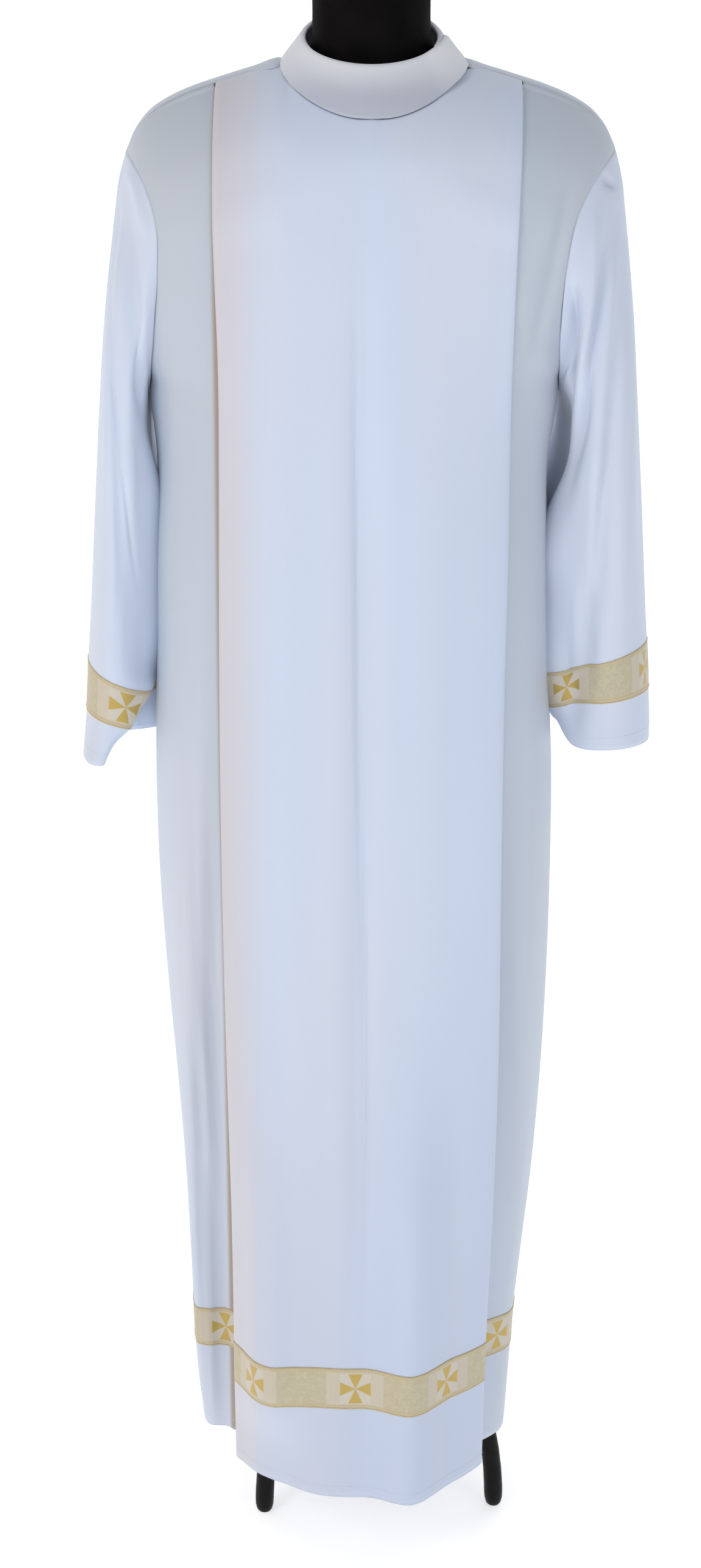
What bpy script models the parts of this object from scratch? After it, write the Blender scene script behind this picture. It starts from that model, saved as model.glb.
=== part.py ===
"""Alb robe on a limbless dress form with a tripod stand.

The robe is a wall of cloth: a centre front whose two edges are box pleats folded under,
two side fronts that run out from beneath the pleats, one back, two set-in sleeves, a
turned stand collar that laps at one shoulder, and woven galloon round hem and cuffs.
It hangs on the shoulders of a smooth dress form. Metres, +Z up, front towards -Y.
"""

import math

import bmesh
import bpy
import numpy as np

# ---------------------------------------------------------------- driving dimensions
CLOTH = 0.0015            # wall of one layer of cloth
RIBBON = 0.0010           # wall of the woven galloon
SEAM_GAP = 0.0003         # clear distance at a seam
LAYER_GAP = 0.0008        # clear distance between two layers that lie on each other

HEM_Z = 0.098             # height of the skirt hem above the floor
BAND_ABOVE_HEM = 0.101    # lower edge of the galloon above the skirt hem
BAND_WIDTH = 0.046        # width of the galloon
UNDERARM_Z = 1.270        # lowest point of the armhole
ARM_TOP_Z = 1.508         # armhole seam on top of the shoulder
ARM_NARROW = 0.203        # middle to armhole seam where the fronts are narrowest
ARM_FLARE = 0.044         # the seam lies this much further out on top of the shoulder
ROLL_HEIGHT = 0.120       # height over which cloth rolls off the shoulder ridge
SEAM_ROLL = 18.0          # shoulder seam lies this many degrees in front of the ridge
SECTION_POWER = 2.4       # squareness of the body's plan section

SHOULDER_X = 0.012        # middle of the shoulders; the hem hangs round x = 0
NECK_Y = -0.030           # middle of the neck opening, front to back
NECK_HALF_WIDTH = 0.089
NECK_FRONT = 0.075
NECK_BACK = 0.098

PLEAT_RADIUS = 0.0022     # outer radius of the folded edge of a box pleat
PLEAT_RETURN = 0.030      # cloth folded back under the edge

RIM_HALF_WIDTH = 0.0680   # upper edge of the collar
RIM_FRONT_Y = -0.079
RIM_BACK_Y = 0.0715
RIM_MID_Z = 1.6190
RIM_TILT = 0.0320         # the rim is this much higher at the back than at mid height
COLLAR_START = 70.0       # angle of the under end, from the front round to the right
COLLAR_LAP = 14.0         # angle by which the front end laps over it
COLLAR_LAP_LIFT = 0.0064

NECK_X = 0.0120           # axis of the form
FORM_INSET = 0.014        # the form's shoulders lie this far inside the cloth's depth
FORM_SHOULDER = 0.190     # half width of the form's shoulders
FORM_PLEAT_X = 0.095      # from here outwards they make room for the pleats' layers
FORM_PLEAT_RUN = 0.030
NECK_RADIUS = 0.0595
FORM_TOP_Z = 1.705
FORM_BOTTOM_Z = 0.790
POLE_RADIUS = 0.016
HUB_Z = 0.300
STAND_X = 0.0200          # axis of the pole and its tripod
LEG_SPREAD = 0.152        # foot distance from the pole axis
LEG_HEADINGS = (-147.0, -27.0, 93.0)

# Body sections: height, middle, half width, depth to the front, depth to the back.
BODY = np.array([
    (1.620, 0.012, 0.268, 0.080, 0.078),
    (1.540, 0.012, 0.264, 0.112, 0.102),
    (1.480, 0.009, 0.258, 0.127, 0.114),
    (1.400, 0.003, 0.247, 0.137, 0.121),
    (1.320, -0.003, 0.226, 0.142, 0.123),
    (1.270, -0.005, 0.2115, 0.145, 0.124),
    (1.100, -0.008, 0.2070, 0.151, 0.129),
    (0.970, -0.007, 0.2095, 0.156, 0.136),
    (0.870, -0.0055, 0.2135, 0.161, 0.143),
    (0.700, -0.0035, 0.2120, 0.170, 0.155),
    (0.550, 0.000, 0.2045, 0.180, 0.165),
    (0.400, 0.000, 0.1945, 0.191, 0.176),
    (0.240, -0.0055, 0.1835, 0.203, 0.186),
    (0.165, -0.0065, 0.1800, 0.2095, 0.191),
    (0.092, -0.0050, 0.1735, 0.216, 0.196),
])
# Box pleats: height, middle of the centre front, its half width, and how far the side
# front lies behind it on the left and on the right.
PLEATS = np.array([
    (1.600, 0.010, 0.1545, 0.0060, 0.0060),
    (1.440, 0.006, 0.1510, 0.0062, 0.0062),
    (1.300, 0.006, 0.1475, 0.0068, 0.0068),
    (1.120, 0.005, 0.1480, 0.0088, 0.0080),
    (0.950, 0.003, 0.1475, 0.0140, 0.0105),
    (0.750, 0.003, 0.1468, 0.0300, 0.0180),
    (0.550, 0.004, 0.1455, 0.0550, 0.0300),
    (0.400, 0.003, 0.1430, 0.0750, 0.0420),
    (0.240, 0.001, 0.1400, 0.0950, 0.0580),
    (0.092, 0.000, 0.1385, 0.0950, 0.0550),
])
# Ridge of the shoulders: distance from the middle, height.
SHOULDER = np.array([
    (0.000, 1.613), (0.095, 1.5965), (0.152, 1.5805), (0.193, 1.5660),
    (0.215, 1.5545), (0.231, 1.5410), (0.241, 1.5260), (0.250, 1.5050), (0.262, 1.4700),
])
# Soft folds: x at the upper end, x at the lower end, upper end, lower end, half width, height.
PANEL_FOLDS = np.array([
    (0.006, -0.002, 1.50, 0.30, 0.013, -0.0070),
    (0.072, 0.070, 1.42, 0.45, 0.040, 0.0040),
    (-0.072, -0.070, 1.42, 0.45, 0.040, 0.0040),
    (0.060, 0.056, 0.62, -0.20, 0.030, 0.0240),
    (-0.105, -0.100, 0.62, -0.20, 0.026, 0.0140),
    (-0.141, -0.143, 0.60, -0.20, 0.022, -0.0220),
    (-0.104, -0.098, 0.21, -0.07, 0.036, -0.0300),
])
SIDE_FOLDS = np.array([
    (-0.186, -0.190, 1.02, -0.10, 0.013, 0.0120),
    (-0.166, -0.162, 0.80, -0.10, 0.010, -0.0070),
    (0.184, 0.168, 1.00, -0.10, 0.014, 0.0100),
    (0.190, 0.188, 1.36, 1.10, 0.012, 0.0050),
])
BACK_FOLDS = np.array([
    (-0.140, -0.150, 1.30, -0.40, 0.020, 0.0170),
    (-0.072, -0.084, 1.36, -0.40, 0.021, 0.0150),
    (0.006, 0.000, 1.42, -0.40, 0.022, -0.0140),
    (0.080, 0.090, 1.34, -0.40, 0.020, 0.0170),
    (0.138, 0.146, 1.28, -0.40, 0.019, 0.0140),
    (-0.036, -0.044, 1.05, -0.40, 0.015, -0.0090),
    (0.040, 0.046, 1.00, -0.40, 0.015, 0.0110),
])
# Sleeve outline: height and distance of the outer edge from the middle of the shoulders.
SLEEVE_OUTER = np.array([
    (0.880, 0.3045), (0.920, 0.3025), (0.968, 0.3005), (1.034, 0.2955), (1.165, 0.2865),
    (1.292, 0.2770), (1.354, 0.2715), (1.446, 0.2625), (1.480, 0.2580), (1.510, 0.2490),
])
# Sleeve sections: share of the way down, height of outer edge, height of inner edge,
# clear distance inner edge to middle (left, right), half depth to the front and back.
SLEEVE = np.array([
    (0.000, 1.506, 1.270, 0.2270, 0.1975, 0.088, 0.080),
    (0.045, 1.478, 1.264, 0.2292, 0.1990, 0.089, 0.082),
    (0.110, 1.440, 1.252, 0.2292, 0.1985, 0.090, 0.084),
    (0.200, 1.385, 1.225, 0.2292, 0.1975, 0.090, 0.086),
    (0.320, 1.310, 1.180, 0.2292, 0.1970, 0.089, 0.087),
    (0.500, 1.190, 1.090, 0.2292, 0.1975, 0.086, 0.086),
    (0.700, 1.060, 1.010, 0.2300, 0.1985, 0.083, 0.084),
    (0.850, 0.975, 0.950, 0.2305, 0.1990, 0.080, 0.082),
    (1.000, 0.893, 0.893, 0.2310, 0.1990, 0.078, 0.080),
])
SLEEVE_X = 0.0100
ARMHOLE_SLIMNESS = 1.35   # height of the armhole over its width, front to back
# Sleeve folds: angle at the armhole, angle at the cuff (0 outer edge, 90 front, 180 inner
# edge), share where it starts and ends, half width in degrees, height.
SLEEVE_FOLDS = {
    "left": np.array([
        (62.0, 120.0, 0.02, 0.75, 15.0, -0.0080),
        (30.0, 70.0, 0.05, 0.55, 14.0, 0.0045),
        (250.0, 235.0, 0.05, 0.90, 18.0, -0.0070),
    ]),
    "right": np.array([
        (55.0, 148.0, 0.02, 1.10, 14.0, -0.0095),
        (20.0, 75.0, 0.10, 0.80, 15.0, 0.0050),
        (262.0, 240.0, 0.05, 0.90, 18.0, -0.0070),
    ]),
}
# How much lower a sleeve hangs: share of the way down, drop.
SLEEVE_DROP = {
    "left": np.array([(0.0, 0.0), (0.35, 0.002), (0.60, 0.011), (0.79, 0.0195), (0.89, 0.019),
                      (1.0, 0.012)]),
    "right": np.array([(0.0, 0.0), (0.70, 0.0), (0.89, 0.0), (1.0, -0.005)]),
}
# Drawn rings of the cuffs, the left one folded under at its front: angle, x, y, rise.
LEFT_CUFF_TOP = np.array([
    (0.0, -0.2895, 0.0, 0.0), (25.0, -0.2865, -0.033, 0.0), (50.0, -0.2785, -0.060, 0.0),
    (75.0, -0.2650, -0.0780, 0.0), (100.0, -0.2480, -0.0800, 0.0), (125.0, -0.2320, -0.0690, 0.0),
    (145.0, -0.2220, -0.0520, 0.0), (158.0, -0.2175, -0.0380, 0.0),
    (166.0, -0.2240, -0.0280, 0.0), (174.0, -0.2285, -0.0160, 0.0),
    (182.0, -0.2265, -0.0020, 0.0), (192.0, -0.2215, 0.0140, 0.0),
    (205.0, -0.2185, 0.0360, 0.0), (225.0, -0.2270, 0.0620, 0.0), (250.0, -0.2440, 0.0800, 0.0),
    (275.0, -0.2590, 0.0820, 0.0), (305.0, -0.2760, 0.0660, 0.0), (332.0, -0.2870, 0.0340, 0.0),
])
LEFT_CUFF_MIDDLE = np.array([
    (0.0, -0.2925, -0.006, 0.0), (25.0, -0.2895, -0.038, 0.0), (50.0, -0.2810, -0.062, 0.0),
    (75.0, -0.2690, -0.0755, 0.0), (100.0, -0.2565, -0.0775, 0.0), (125.0, -0.2460, -0.0730, 0.0),
    (138.0, -0.2422, -0.0660, 0.0), (148.0, -0.2465, -0.0570, 0.001),
    (158.0, -0.2540, -0.0430, 0.002), (167.0, -0.2555, -0.0250, 0.004),
    (176.0, -0.2470, -0.0060, 0.005), (186.0, -0.2330, 0.0120, 0.005),
    (198.0, -0.2205, 0.0330, 0.005),
    (212.0, -0.2190, 0.0560, 0.004), (235.0, -0.2310, 0.0770, 0.004),
    (265.0, -0.2540, 0.0830, 0.003), (300.0, -0.2755, 0.0660, 0.002),
    (330.0, -0.2880, 0.0320, 0.0),
])
LEFT_CUFF_END = np.array([
    (0.0, -0.2955, -0.012, 0.006), (25.0, -0.2945, -0.038, 0.005), (50.0, -0.2905, -0.060, 0.003),
    (75.0, -0.2820, -0.0755, 0.0), (92.0, -0.2730, -0.0785, 0.0), (105.0, -0.2668, -0.0725, 0.0),
    (115.0, -0.2690, -0.0610, 0.002), (128.0, -0.2730, -0.0420, 0.006),
    (142.0, -0.2725, -0.0170, 0.010), (156.0, -0.2630, 0.0060, 0.014),
    (170.0, -0.2480, 0.0220, 0.014), (184.0, -0.2320, 0.0370, 0.013),
    (198.0, -0.2200, 0.0540, 0.012), (212.0, -0.2200, 0.0700, 0.012),
    (235.0, -0.2320, 0.0820, 0.012), (265.0, -0.2540, 0.0850, 0.010),
    (300.0, -0.2755, 0.0670, 0.008), (330.0, -0.2900, 0.0300, 0.007),
])
RIGHT_CUFF_END = np.array([
    (0.0, 0.3135, 0.0, 0.0), (30.0, 0.3066, -0.039, 0.0), (60.0, 0.2875, -0.0675, 0.0),
    (85.0, 0.2660, -0.0790, 0.0), (105.0, 0.2480, -0.0790, 0.0), (120.0, 0.2350, -0.0740, 0.0),
    (133.0, 0.2262, -0.0640, 0.001), (146.0, 0.2215, -0.0480, 0.003),
    (160.0, 0.2190, -0.0280, 0.006), (175.0, 0.2170, -0.0040, 0.010),
    (190.0, 0.2170, 0.0220, 0.012), (210.0, 0.2215, 0.0480, 0.010),
    (240.0, 0.2400, 0.0705, 0.004), (270.0, 0.2613, 0.0800, 0.0),
    (300.0, 0.2875, 0.0693, 0.0), (330.0, 0.3066, 0.0400, 0.0),
])
# Share where a cuff leaves its plain section, then the shares of its drawn rings.
CUFF_RINGS = {
    "left": ((0.745, 0.80, 0.90, 1.0), (LEFT_CUFF_TOP, LEFT_CUFF_MIDDLE, LEFT_CUFF_END)),
    "right": ((0.89, 1.0), (RIGHT_CUFF_END,)),
}
# Dress form: height, half width, depth to the front, depth to the back.
FORM = np.array([
    (0.790, 0.158, 0.094, 0.100),
    (0.850, 0.172, 0.104, 0.112),
    (0.930, 0.178, 0.110, 0.116),
    (1.010, 0.172, 0.108, 0.108),
    (1.110, 0.150, 0.102, 0.092),
    (1.180, 0.146, 0.104, 0.090),
    (1.270, 0.160, 0.118, 0.098),
    (1.350, 0.176, 0.122, 0.104),
    (1.420, 0.188, 0.112, 0.102),
])

WHITE = ("white crepe", (0.800, 0.830, 0.900, 1.0), 0.62, 0.0)
GOLD = ("gold galloon", (0.560, 0.450, 0.240, 1.0), 0.50, 0.2)
BLACK_COVER = ("black jersey cover", (0.012, 0.011, 0.011, 1.0), 0.80, 0.0)
BLACK_PAINT = ("black painted wood", (0.020, 0.018, 0.017, 1.0), 0.45, 0.0)


# ---------------------------------------------------------------- scene and helpers
def clear_scene():
    for thing in list(bpy.data.objects):
        bpy.data.objects.remove(thing, do_unlink=True)


def collection(name):
    made = bpy.data.collections.get(name) or bpy.data.collections.new(name)
    if made.name not in bpy.context.scene.collection.children:
        bpy.context.scene.collection.children.link(made)
    return made


def material(spec):
    name, colour, roughness, metallic = spec
    made = bpy.data.materials.get(name)
    if made is None:
        made = bpy.data.materials.new(name)
        made.use_nodes = True
        surface = made.node_tree.nodes["Principled BSDF"]
        surface.inputs["Base Color"].default_value = colour
        surface.inputs["Roughness"].default_value = roughness
        surface.inputs["Metallic"].default_value = metallic
        made.diffuse_color = colour
    return made


def add_mesh(name, points, faces, spec):
    """One closed body from points and faces, its faces turned outwards."""
    data = bpy.data.meshes.new(name)
    data.from_pydata([tuple(map(float, point)) for point in points], [], faces)
    work = bmesh.new()
    work.from_mesh(data)
    bmesh.ops.recalc_face_normals(work, faces=work.faces)
    bmesh.ops.triangulate(work, faces=work.faces)
    work.to_mesh(data)
    work.free()
    data.shade_smooth()
    data.materials.append(material(spec))
    made = bpy.data.objects.new(name, data)
    collection("alb_robe").objects.link(made)
    return made


def curve_through(table, column, at):
    """Smooth value of a table's column at a height: a cubic through its rows."""
    order = np.argsort(table[:, 0])
    keys, values = table[order, 0], table[order, column]
    at = min(max(at, keys[0]), keys[-1])
    slopes = np.gradient(values, keys)
    place = min(max(int(np.searchsorted(keys, at)) - 1, 0), len(keys) - 2)
    span = keys[place + 1] - keys[place]
    t = (at - keys[place]) / span
    return float(
        (2 * t**3 - 3 * t**2 + 1) * values[place] + (t**3 - 2 * t**2 + t) * span * slopes[place]
        + (3 * t**2 - 2 * t**3) * values[place + 1] + (t**3 - t**2) * span * slopes[place + 1]
    )


def ease(value):
    value = min(max(value, 0.0), 1.0)
    return value * value * (3.0 - 2.0 * value)


def fold_height(folds, across, z):
    """Sum of soft ridges and troughs at a place across the cloth and a height."""
    total = 0.0
    for upper_x, lower_x, upper_z, lower_z, half_width, height in folds:
        share = (upper_z - z) / (upper_z - lower_z)
        if not 0.0 < share < 1.0:
            continue
        middle = upper_x + (lower_x - upper_x) * share
        strength = ease(share * 3.0) * ease((1.0 - share) * 4.0)
        total += height * strength * math.exp(-((across - middle) / half_width) ** 2)
    return total


def grid_normals(grid, around):
    """Outward unit normals of a grid whose rows run down and columns run anticlockwise."""
    if around:
        across = np.roll(grid, -1, axis=1) - np.roll(grid, 1, axis=1)
    else:
        across = np.gradient(grid, axis=1)
    down = np.gradient(grid, axis=0)
    normals = np.cross(down, across)
    return normals / np.linalg.norm(normals, axis=2, keepdims=True)


def wall(name, outer, inner, spec, around=False):
    """A closed wall between an outer and an inner grid of points."""
    rows, columns = outer.shape[:2]
    points = np.concatenate([outer.reshape(-1, 3), inner.reshape(-1, 3)])
    back = rows * columns

    def corner(row, column, layer):
        return layer * back + row * columns + column % columns

    faces = []
    steps = columns if around else columns - 1
    for row in range(rows - 1):
        for column in range(steps):
            square = [(row, column), (row, column + 1), (row + 1, column + 1), (row + 1, column)]
            faces.append([corner(r, c, 0) for r, c in square])
            faces.append([corner(r, c, 1) for r, c in reversed(square)])
    for column in range(steps):
        for row in (0, rows - 1):
            faces.append([corner(row, column, 0), corner(row, column + 1, 0),
                          corner(row, column + 1, 1), corner(row, column, 1)])
    if not around:
        for row in range(rows - 1):
            for column in (0, columns - 1):
                faces.append([corner(row, column, 0), corner(row + 1, column, 0),
                              corner(row + 1, column, 1), corner(row, column, 1)])
    return add_mesh(name, points, faces, spec)


def cloth_wall(name, grid, normals, around=False):
    return wall(name, grid, grid - normals * CLOTH, WHITE, around)


def ribbon_wall(name, grid, normals, around=False):
    """Galloon made from a panel's own points, moved out."""
    return wall(name, grid + normals * (SEAM_GAP + RIBBON), grid + normals * SEAM_GAP,
                GOLD, around)


# ---------------------------------------------------------------- surface of the body
# A row of a panel is ("over", share), a share of the way over the shoulder's roll, or
# ("blend", share), between the roll and the first level row, or ("level", height).
BAND_LOW_Z = HEM_Z + BAND_ABOVE_HEM
BAND_TOP_Z = BAND_LOW_Z + BAND_WIDTH
FIRST_LEVEL_Z = 1.325
LEVELS = (FIRST_LEVEL_Z, 1.295, UNDERARM_Z, 1.200, 1.100, 0.990, 0.870, 0.750, 0.630, 0.510,
          0.400, 0.310, BAND_TOP_Z, BAND_LOW_Z, 0.140, HEM_Z)
DOWN_ROWS = [("blend", 0.45)] + [("level", z) for z in LEVELS]
FRONT_OVER = (0.0, 0.035, 0.07, 0.16, 0.28, 0.44, 0.68, 1.0)
FRONT_ROWS = [("over", share) for share in FRONT_OVER] + DOWN_ROWS
TUCKED_ROW = 2            # from this row down the side fronts lie under the box pleats
BACK_OVER = (0.0, 0.085, 0.17, 0.26, 0.38, 0.55, 0.76, 1.0)
BACK_ROWS = [("over", share) for share in BACK_OVER] + DOWN_ROWS
UNDERARM_ROW = DOWN_ROWS.index(("level", UNDERARM_Z))
BAND_ROW = DOWN_ROWS.index(("level", BAND_TOP_Z))


def ridge_z(x):
    return curve_through(SHOULDER, 1, abs(x - SHOULDER_X))


def row_height(row, x, start_roll):
    """Height of a row at x, and the sine of how far it is round the shoulder's roll."""
    kind, value = row
    if kind == "over":
        roll = math.radians(start_roll + (90.0 - start_roll) * value)
        return ridge_z(x) - ROLL_HEIGHT * (1.0 - math.cos(roll)), math.sin(roll)
    if kind == "blend":
        return ridge_z(x) - ROLL_HEIGHT + value * (FIRST_LEVEL_Z - ridge_z(x) + ROLL_HEIGHT), 1.0
    return value, 1.0


def depth_share(x, z):
    """Share of the full depth that the body's plan section has at x."""
    offset = abs(x - curve_through(BODY, 1, z)) / curve_through(BODY, 2, z)
    return max(1.0 - offset**SECTION_POWER, 0.0) ** (1.0 / SECTION_POWER)


def neck_roll(x, backward):
    """Roll angle at which the neckline crosses x, in degrees; negative in front."""
    offset = min(abs(x - SHOULDER_X) / NECK_HALF_WIDTH, 1.0)
    reach = NECK_BACK if backward else -NECK_FRONT
    y = NECK_Y + reach * math.sqrt(1.0 - offset**2)
    return roll_at(x, y)


def roll_at(x, y):
    """Roll angle of the point of the shoulder's surface over a point of the plan."""
    column = 4 if y > 0 else 3
    low, high = 0.0, 90.0
    for _ in range(30):
        middle = (low + high) / 2.0
        z = ridge_z(x) - ROLL_HEIGHT * (1.0 - math.cos(math.radians(middle)))
        reach = curve_through(BODY, column, z) * depth_share(x, z) * math.sin(math.radians(middle))
        if reach < abs(y):
            low = middle
        else:
            high = middle
    return math.copysign((low + high) / 2.0, y)


def arm_edge(z):
    """Distance of the armhole seam from the body's middle at a height."""
    turn = (2.0 * z - ARM_TOP_Z - UNDERARM_Z) / (ARM_TOP_Z - UNDERARM_Z)
    turn = min(max(turn, -1.0), 1.0)
    upper = ARM_NARROW + ARM_FLARE * max(turn, 0.0) ** 2.5
    full = curve_through(BODY, 2, UNDERARM_Z)
    return upper + (full - ARM_NARROW) * max(-turn, 0.0) ** 3.0


def front_start(x):
    inside = abs(x - SHOULDER_X) < NECK_HALF_WIDTH
    return abs(neck_roll(x, False)) if inside else SEAM_ROLL


def back_start(x):
    inside = abs(x - SHOULDER_X) < NECK_HALF_WIDTH
    return neck_roll(x, True) if inside else -SEAM_ROLL


def front_point(x, row, recess=0.0):
    z, roll = row_height(row, x, front_start(x))
    depth = curve_through(BODY, 3, z) * depth_share(x, z)
    return np.array([x, -depth * roll + recess * roll, z - recess * math.sqrt(1.0 - roll**2)])


def seam_normal(x):
    """Outward direction of the cloth at the shoulder seam."""
    roll = math.radians(SEAM_ROLL)
    z = ridge_z(x) - ROLL_HEIGHT * (1.0 - math.cos(roll))
    depth = curve_through(BODY, 3, z) * depth_share(x, z)
    normal = np.array([0.0, -ROLL_HEIGHT * math.sin(roll), depth * math.cos(roll)])
    return normal / np.linalg.norm(normal)


def align_seam(grid, normals):
    """Give the shoulder seam's edge the same direction on both sides of the seam."""
    for column in range(grid.shape[1]):
        x = grid[0, column, 0]
        if abs(x - SHOULDER_X) >= NECK_HALF_WIDTH:
            normals[0, column] = seam_normal(x)


def outer_x(row, side, start_roll):
    """Where a row meets the armhole seam or the side seam, and its height there."""
    near, far = 0.15, 0.28
    for _ in range(30):
        reach = (near + far) / 2.0
        z, _roll = row_height(row, SHOULDER_X + side * reach, start_roll)
        half = curve_through(BODY, 2, z) if z <= UNDERARM_Z else arm_edge(z)
        middle = curve_through(BODY, 1, z)
        if side * (SHOULDER_X - middle) + reach < half:
            near = reach
        else:
            far = reach
    return SHOULDER_X + side * reach, z


# ---------------------------------------------------------------- centre front
PANEL_STEPS = (-1.0, -0.93, -0.82, -0.70, -0.576, -0.50, -0.40, -0.28, -0.16, -0.07, 0.0,
               0.07, 0.16, 0.28, 0.40, 0.50, 0.576, 0.70, 0.82, 0.93, 1.0)
FOLD_ANGLES = (45.0, 90.0, 135.0, 180.0)


def row_level(row, x):
    return row_height(row, x, front_start(x))[0]


def pleat_edge(row, side):
    """x of the folded edge of the centre front on one side."""
    x = side * 0.15 + SHOULDER_X
    for _ in range(4):
        z = row_level(row, x)
        x = curve_through(PLEATS, 1, z) + side * curve_through(PLEATS, 2, z)
    return x


def panel_point(x, row):
    point = front_point(x, row)
    point[1] -= fold_height(PANEL_FOLDS, x, point[2])
    return point


def side_recess(row, side, share):
    """How far the side front lies behind the centre front, less towards its outer edge."""
    z = row_level(row, pleat_edge(row, side))
    deep = curve_through(PLEATS, 3 if side < 0 else 4, z)
    if row == FRONT_ROWS[0]:
        deep = 0.0
    return deep * (1.0 - ease(share))


def side_point(side, share, row):
    """A point of a side front, from under the pleat (0) to the armhole or side seam (1)."""
    edge = pleat_edge(row, side)
    tucked = FRONT_ROWS.index(row) >= TUCKED_ROW
    start = edge - side * PLEAT_RETURN if tucked else edge + side * SEAM_GAP
    end, z = outer_x(row, side, SEAM_ROLL)
    middle = curve_through(BODY, 1, row_level(row, edge))
    half = curve_through(BODY, 2, row_level(row, edge))
    power = SECTION_POWER / 2.0
    turn_start = math.asin(min(abs(start - middle) / half, 1.0) ** power)
    middle_end, half_end = curve_through(BODY, 1, z), curve_through(BODY, 2, z)
    turn_end = math.asin(min(abs(end - middle_end) / half_end, 1.0) ** power)
    turn = turn_start + (turn_end - turn_start) * share
    x = end
    for _ in range(4):
        level = row_level(row, x)
        x = curve_through(BODY, 1, level) + side * curve_through(BODY, 2, level) * (
            math.sin(turn) ** (1.0 / power))
    point = front_point(x, row, side_recess(row, side, share))
    point[1] -= fold_height(SIDE_FOLDS, x, point[2]) * ease(share * 4.0) * ease((1.0 - share) * 5.0)
    return point


def panel_row(row):
    """Outer points of one row of the centre front, from return to return."""
    middle = (pleat_edge(row, 1) + pleat_edge(row, -1)) / 2.0
    place = FRONT_ROWS.index(row)
    direction = 1 if place < len(FRONT_ROWS) - 1 else -1
    next_row = FRONT_ROWS[place + direction]
    face = []
    for step in PANEL_STEPS:
        edge = pleat_edge(row, 1 if step > 0 else -1)
        reach = (abs(edge - middle) - PLEAT_RADIUS) * step
        face.append(panel_point(middle + reach, row))
    sides = []
    for side, end, inner in ((-1, 0, 1), (1, -1, -2)):
        outward = face[end] - face[inner]
        outward /= np.linalg.norm(outward)
        down = panel_point(face[end][0], next_row) - panel_point(face[end][0], row)
        inward = np.cross(outward, down) * side * direction
        inward /= np.linalg.norm(inward)
        turned = []
        for angle in FOLD_ANGLES:
            turn = math.radians(angle)
            turned.append(face[end] + PLEAT_RADIUS * (outward * math.sin(turn)
                                                      + inward * (1.0 - math.cos(turn))))
        if place >= TUCKED_ROW:
            tuck = side_point(side, 0.0, row)
            tuck[1] -= LAYER_GAP
        else:
            tuck = turned[-1] - outward * (PLEAT_RETURN - PLEAT_RADIUS)
        turned += [turned[-1] * 0.5 + tuck * 0.5, tuck]
        sides.append(turned)
    return sides[0][::-1] + face + sides[1]


def make_front():
    grid = np.array([panel_row(row) for row in FRONT_ROWS])
    normals = grid_normals(grid, False)
    turned = len(FOLD_ANGLES)
    align_seam(grid[:, turned + 2:-turned - 2], normals[:, turned + 2:-turned - 2])
    cloth_wall("front_panel", grid, normals)
    first = len(FRONT_ROWS) - len(DOWN_ROWS) + BAND_ROW
    rows = slice(first, first + 2)
    columns = slice(turned, -turned)
    ribbon_wall("galloon_front", grid[rows, columns], normals[rows, columns])


SIDE_SHARES = (0.0, 0.10, 0.22, 0.33, 0.44, 0.55, 0.66, 0.77, 0.88, 1.0)


def make_side_front(side):
    name = "left" if side < 0 else "right"
    shares = SIDE_SHARES if side > 0 else SIDE_SHARES[::-1]
    grid = np.array([[side_point(side, share, row) for share in shares] for row in FRONT_ROWS])
    normals = grid_normals(grid, False)
    align_seam(grid, normals)
    cloth_wall("front_side_" + name, grid, normals)
    first = len(FRONT_ROWS) - len(DOWN_ROWS) + BAND_ROW
    rows = slice(first, first + 2)
    columns = slice(1, None) if side > 0 else slice(None, -1)
    ribbon_wall("galloon_side_" + name, grid[rows, columns], normals[rows, columns])
    outer = -1 if side > 0 else 0
    return grid[: len(FRONT_ROWS) - len(DOWN_ROWS) + UNDERARM_ROW + 1, outer]


# ---------------------------------------------------------------- back
NECK_TURNS = (90.0, 72.0, 54.0, 36.0, 18.0, 0.0)
BACK_SHARES = (1.0, 0.93, 0.85, 0.76, 0.66, 0.57, 0.48)


def back_point(x, row):
    z, roll = row_height(row, x, back_start(x))
    column = 4 if roll > 0 else 3
    y = curve_through(BODY, column, z) * depth_share(x, z) * roll
    return np.array([x, y, z])


def make_back():
    grid = []
    for row in BACK_ROWS:
        line = []
        for side in (1, -1):
            end, z = outer_x(row, side, -SEAM_ROLL)
            half = []
            for share in BACK_SHARES:
                half.append(end_share(row, side, share, end, z))
            for turn in NECK_TURNS:
                half.append(SHOULDER_X + side * NECK_HALF_WIDTH * math.sin(math.radians(turn)))
            if side < 0:
                half = half[:-1][::-1]
            line += [folded_back_point(x, row) for x in half]
        line[0][1] += SEAM_GAP
        line[-1][1] += SEAM_GAP
        grid.append(line)
    grid = np.array(grid)
    normals = grid_normals(grid, False)
    align_seam(grid, normals)
    grid[0, :, 1] += 2.0 * SEAM_GAP
    cloth_wall("back", grid, normals)
    first = len(BACK_ROWS) - len(DOWN_ROWS) + BAND_ROW
    rows = slice(first, first + 2)
    ribbon_wall("galloon_back", grid[rows], normals[rows])
    last = len(BACK_ROWS) - len(DOWN_ROWS) + UNDERARM_ROW + 1
    return {1: grid[:last, 0], -1: grid[:last, -1]}


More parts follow.
